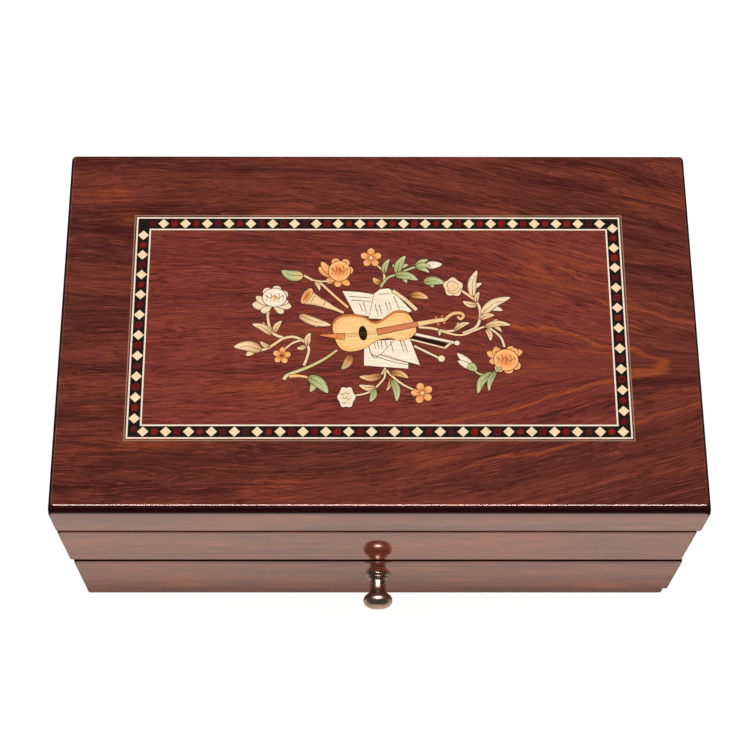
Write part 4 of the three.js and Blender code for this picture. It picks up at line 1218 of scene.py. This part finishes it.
pad("lining_rear", 0.6)
pad("lining_front", 0.6)
pad("drawer_lining", 0.5)
pad("lid_lining", 1.3, border=4, upward=False, hollow="lid_mirror")


def inflate(obj, voxel, cap, floor):
    """Puffs a piece up as cloth over stuffing, by cap at most, and glued below floor."""
    scene = bpy.context.scene
    bpy.context.view_layer.objects.active = obj
    obj.select_set(True)
    remesh = obj.modifiers.new("remesh", "REMESH")
    remesh.mode = "VOXEL"
    remesh.voxel_size = voxel
    bpy.ops.object.modifier_apply(modifier="remesh")
    rest = [v.co.copy() for v in obj.data.vertices]
    glued = obj.vertex_groups.new(name="glued")
    glued.add([i for i, co in enumerate(rest) if co.z < floor], 1.0, "REPLACE")
    cloth_modifier = obj.modifiers.new("cloth", "CLOTH")
    settings = cloth_modifier.settings
    settings.use_pressure = True
    settings.uniform_pressure_force = 4
    settings.vertex_group_mass = "glued"
    settings.effector_weights.gravity = 0
    for number in range(1, 21):
        scene.frame_set(number)
    moved = obj.evaluated_get(bpy.context.evaluated_depsgraph_get()).to_mesh()
    places = []
    for start, v in zip(rest, moved.vertices):
        shift = v.co - start
        if shift.length > cap:
            shift *= cap / shift.length
        places.append(start + shift)
    obj.modifiers.remove(cloth_modifier)
    for v, place in zip(obj.data.vertices, places):
        v.co = place
    scene.frame_set(1)
    obj.select_set(False)


def ring_roll(node):
    """A padded roll: flat below, round above, with a seam of gathers at each end."""
    low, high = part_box(node)
    half = (high.y - low.y) / 2 - 0.5 * MM
    middle, height = (low.y + high.y) / 2, high.z - low.z - 0.7 * MM
    count, arc_steps = 40, 16
    bm = bmesh.new()
    loops = []
    for i in range(count + 1):
        t = i / count
        x = low.x + (high.x - low.x) * t
        near = min(t, 1 - t) * (high.x - low.x)
        plump = 0.86 + 0.14 * math.sqrt(1 - (1 - min(near / (5 * MM), 1)) ** 2)
        gather = 1 + 0.012 * math.sin(t * 61) * math.sin(t * 23)
        radius = half * plump
        centre_z = low.z + height * plump * gather - radius
        loop = [(x, middle - radius, low.z), (x, middle + radius, low.z)]
        for k in range(arc_steps + 1):
            angle = math.pi * k / arc_steps
            y, z = middle + radius * math.cos(angle), centre_z + radius * math.sin(angle)
            loop.append((x, y, z))
        loops.append(loop)
    loft(bm, loops)
    obj = piece(node, bm, VELVET, body_of(node), [node], crease=60)
    inflate(obj, 1.9 * MM, 0.9 * MM, low.z + 1.2 * MM)
    obj.data.shade_smooth()
    obj.modifiers.new("subdivision", "SUBSURF").levels = 1
    return obj


for number in range(1, 5):
    ring_roll(f"ring_roll_{number}")


def wall_linings():
    """Velvet over card against the case's inner faces, in the two open cells."""
    floor_low, floor_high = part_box("tray_floor")
    long_low, long_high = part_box("tray_wall_long")
    rear_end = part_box("tray_wall_movement")[0].x
    front_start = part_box("tray_wall_rings")[1].x
    cells = {
        "rear": (floor_low.x, rear_end, long_high.y, floor_high.y),
        "front": (front_start, floor_high.x, floor_low.y, long_low.y),
    }
    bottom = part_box("lining_front")[1].z
    top = long_high.z + 0.4 * MM
    shoulder = top - 0.5 * MM
    thick = 0.9 * MM
    section = ((0, bottom), (0, shoulder), (0.25, top), (0.75, top), (1, shoulder), (1, bottom))
    for cell, (x0, x1, y0, y1) in cells.items():
        bm = bmesh.new()
        loops = []
        for inset, z in section:
            d = inset * thick
            corners = ((x0 + d, y0 + d), (x1 - d, y0 + d), (x1 - d, y1 - d), (x0 + d, y1 - d))
            loops.append([(x, y, z) for x, y in corners])
        rings = loft(bm, loops, closed=False)
        for i in range(4):
            j = (i + 1) % 4
            bm.faces.new((rings[-1][i], rings[-1][j], rings[0][j], rings[0][i]))
        piece(f"wall_lining_{cell}", bm, VELVET, "case")


wall_linings()
board("base_felt", "left right front back", FELT, "felt", radius=3)

# ---- CAD nodes that keep their own shapes ----
HINGES = [node for node in frame["nodes"] if node.startswith("hinge_")]
keep(["drawer_left_side", "drawer_right_side"], RAW_SIDE, 0.5)
keep(["drawer_runner_left", "drawer_runner_right"], RAW_SIDE, 0.5)
keep(["drawer_back", "drawer_bottom", "drawer_stop", "tray_floor"], RAW, 0.5)
keep(["movement_frame", "comb_riser"], CAST, 0.5)
keep(["barrel_bridge", "train_bridge", "governor_bridge"], BRASS, 0.25)
keep(["spring_barrel", "music_cylinder", "train_wheel"], BRASS_TURNED, 0.06, 1)
keep(["winding_key"], BRASS, 0.45, 3)
keep(HINGES, BRASS_TURNED, 0.12)
keep(["mainspring"], BLUED, 0)
keep(["governor_fly", "comb", "stop_wire"], STEEL, 0.06, 1)
keep(["lid_mirror"], SILVERED, 1.2, 1)
keep(["movement_window"], PLASTIC, 0.4)

# ---- Studio ----
scene = bpy.context.scene
scene.view_settings.view_transform = "Standard"


def stage_sheet(name, material, corners, height):
    """A flat rectangle that belongs to the studio. corners are x0, x1, y0 and y1."""
    x0, x1, y0, y1 = corners
    mesh = bpy.data.meshes.new(name)
    points = [(x0, y0, height), (x1, y0, height), (x1, y1, height), (x0, y1, height)]
    mesh.from_pydata(points, [], [(0, 1, 2, 3)])
    mesh.materials.append(material)
    obj = bpy.data.objects.new(name, mesh)
    scene.collection.objects.link(obj)
    return obj


def floor():
    g = Graph("floor")
    speckle = g.noise(g.place(), (60, 60, 60), 3)
    paper = g.surface(
        Base_Color=g.mix(speckle, (150, 150, 150), (154, 154, 153)),
        Roughness=0.9,
        Specular_IOR_Level=0.0,
        Emission_Color=(1, 1, 1, 1),
        Emission_Strength=0.8,
    )
    stage_sheet("floor", paper, (-6, 6, -6, 6), 0)


def sky():
    """Soft light from all round, and a dark room with a pale horizon for gloss to reflect."""
    world = bpy.data.worlds.new("studio")
    scene.world = world
    g = Graph("studio", world)
    world.cycles.sampling_method = "NONE"

    def grey(level):
        return [level, level, level, 1]

    height = g.split(g.add("TexCoord").outputs["Generated"])[2]
    rays = g.add("LightPath").outputs
    soft = g.mix(g.span(height, 0.0, 1.0, shape="LINEAR"), grey(0.95), grey(1.3))
    room = g.mix(g.span(height, 0.05, 0.4, shape="LINEAR"), grey(0.12), grey(0.03))
    seen = g.mix(rays["Is Diffuse Ray"], grey(0.96), soft)
    light = g.mix(rays["Is Glossy Ray"], seen, room)
    background = g.add("Background", {"Color": light})
    g.add("OutputWorld", {"Surface": background.outputs[0]})


def card(name, corners, height, shade):
    """A flat card on the floor that only shows in reflections. shade maps its graph to its
    brightness."""
    g = Graph(name)
    light = g.add("Emission", {"Color": shade(g)})
    g.add("OutputMaterial", {"Surface": light.outputs[0]})
    obj = stage_sheet(name, g.owner, corners, height)
    obj.visible_camera = obj.visible_diffuse = False
    obj.visible_transmission = obj.visible_shadow = False


def cards():
    """A pale card in front of the box, dimmer close to it, on a dark one."""
    front = CAD_BOUNDS[0].y + 14.7 * MM
    reach = 90 * MM
    dark = (0.03, 0.02, 0.02)
    pale = (1.07, 0.88, 0.75)

    def front_shade(g):
        along = g.split(g.place())[1]
        return g.ramp(
            g.span(along, front / MM, (front - reach) / MM, shape="LINEAR"),
            (0.0, (0.28, 0.26, 0.22)),
            (0.035, (0.45, 0.36, 0.3)),
            (0.1, (0.8, 0.62, 0.52)),
            (0.26, (0.98, 0.79, 0.67)),
            (0.37, pale),
            (0.5, pale),
            (0.85, dark),
            (1.0, dark),
            convert=lambda colour: (*colour, 1),
        )

    def dark_shade(g):
        return g.mix(g.noise(g.place(), (90, 90, 90)), (40, 36, 34), (52, 48, 46))

    card("card_front", (-0.15, 0.15, front - reach, front), 0.4 * MM, front_shade)
    card("card_dark", (-1.5, 1.5, -1.5, 1.5), 0.2 * MM, dark_shade)


LAMP_HEIGHT = 1.32
LAMP_COLOUR = (1.0, 0.8, 0.72)


def strip(name, x, y, half_length, half_width, power):
    """A long warm lamp above the box that only shows in reflections."""
    data = bpy.data.lights.new(name, "AREA")
    data.shape = "RECTANGLE"
    data.size, data.size_y = 2 * half_length, 2 * half_width
    data.energy, data.color = power, LAMP_COLOUR
    obj = bpy.data.objects.new(name, data)
    obj.location = (x, y, LAMP_HEIGHT)
    obj.visible_diffuse = False
    scene.collection.objects.link(obj)


def camera():
    """The photo's camera, solved from its perspective: the view slopes 67.252 degrees down."""
    data = bpy.data.cameras.new("camera")
    data.lens = 85.9
    data.sensor_width = 36
    data.shift_x = 0.0227
    data.clip_start, data.clip_end = 0.01, 50
    obj = bpy.data.objects.new("camera", data)
    tilt, yaw, roll = (math.radians(a) for a in (90 - 67.252, 0.549, 0.534))
    turn = Euler((tilt, 0, -yaw)).to_matrix().to_4x4() @ Matrix.Rotation(roll, 4, "Z")
    obj.matrix_world = Matrix.Translation((-0.00936, -0.295585, 0.768107)) @ turn
    scene.collection.objects.link(obj)
    scene.camera = obj


floor()
sky()
cards()
strip("strip_overhead", 0, 0.02, 0.45, 0.13, 60)
strip("strip_left", -0.85, 0.6, 0.06, 0.5, 4)
strip("strip_right", 0.95, 0.6, 0.06, 0.5, 1.5)
camera()
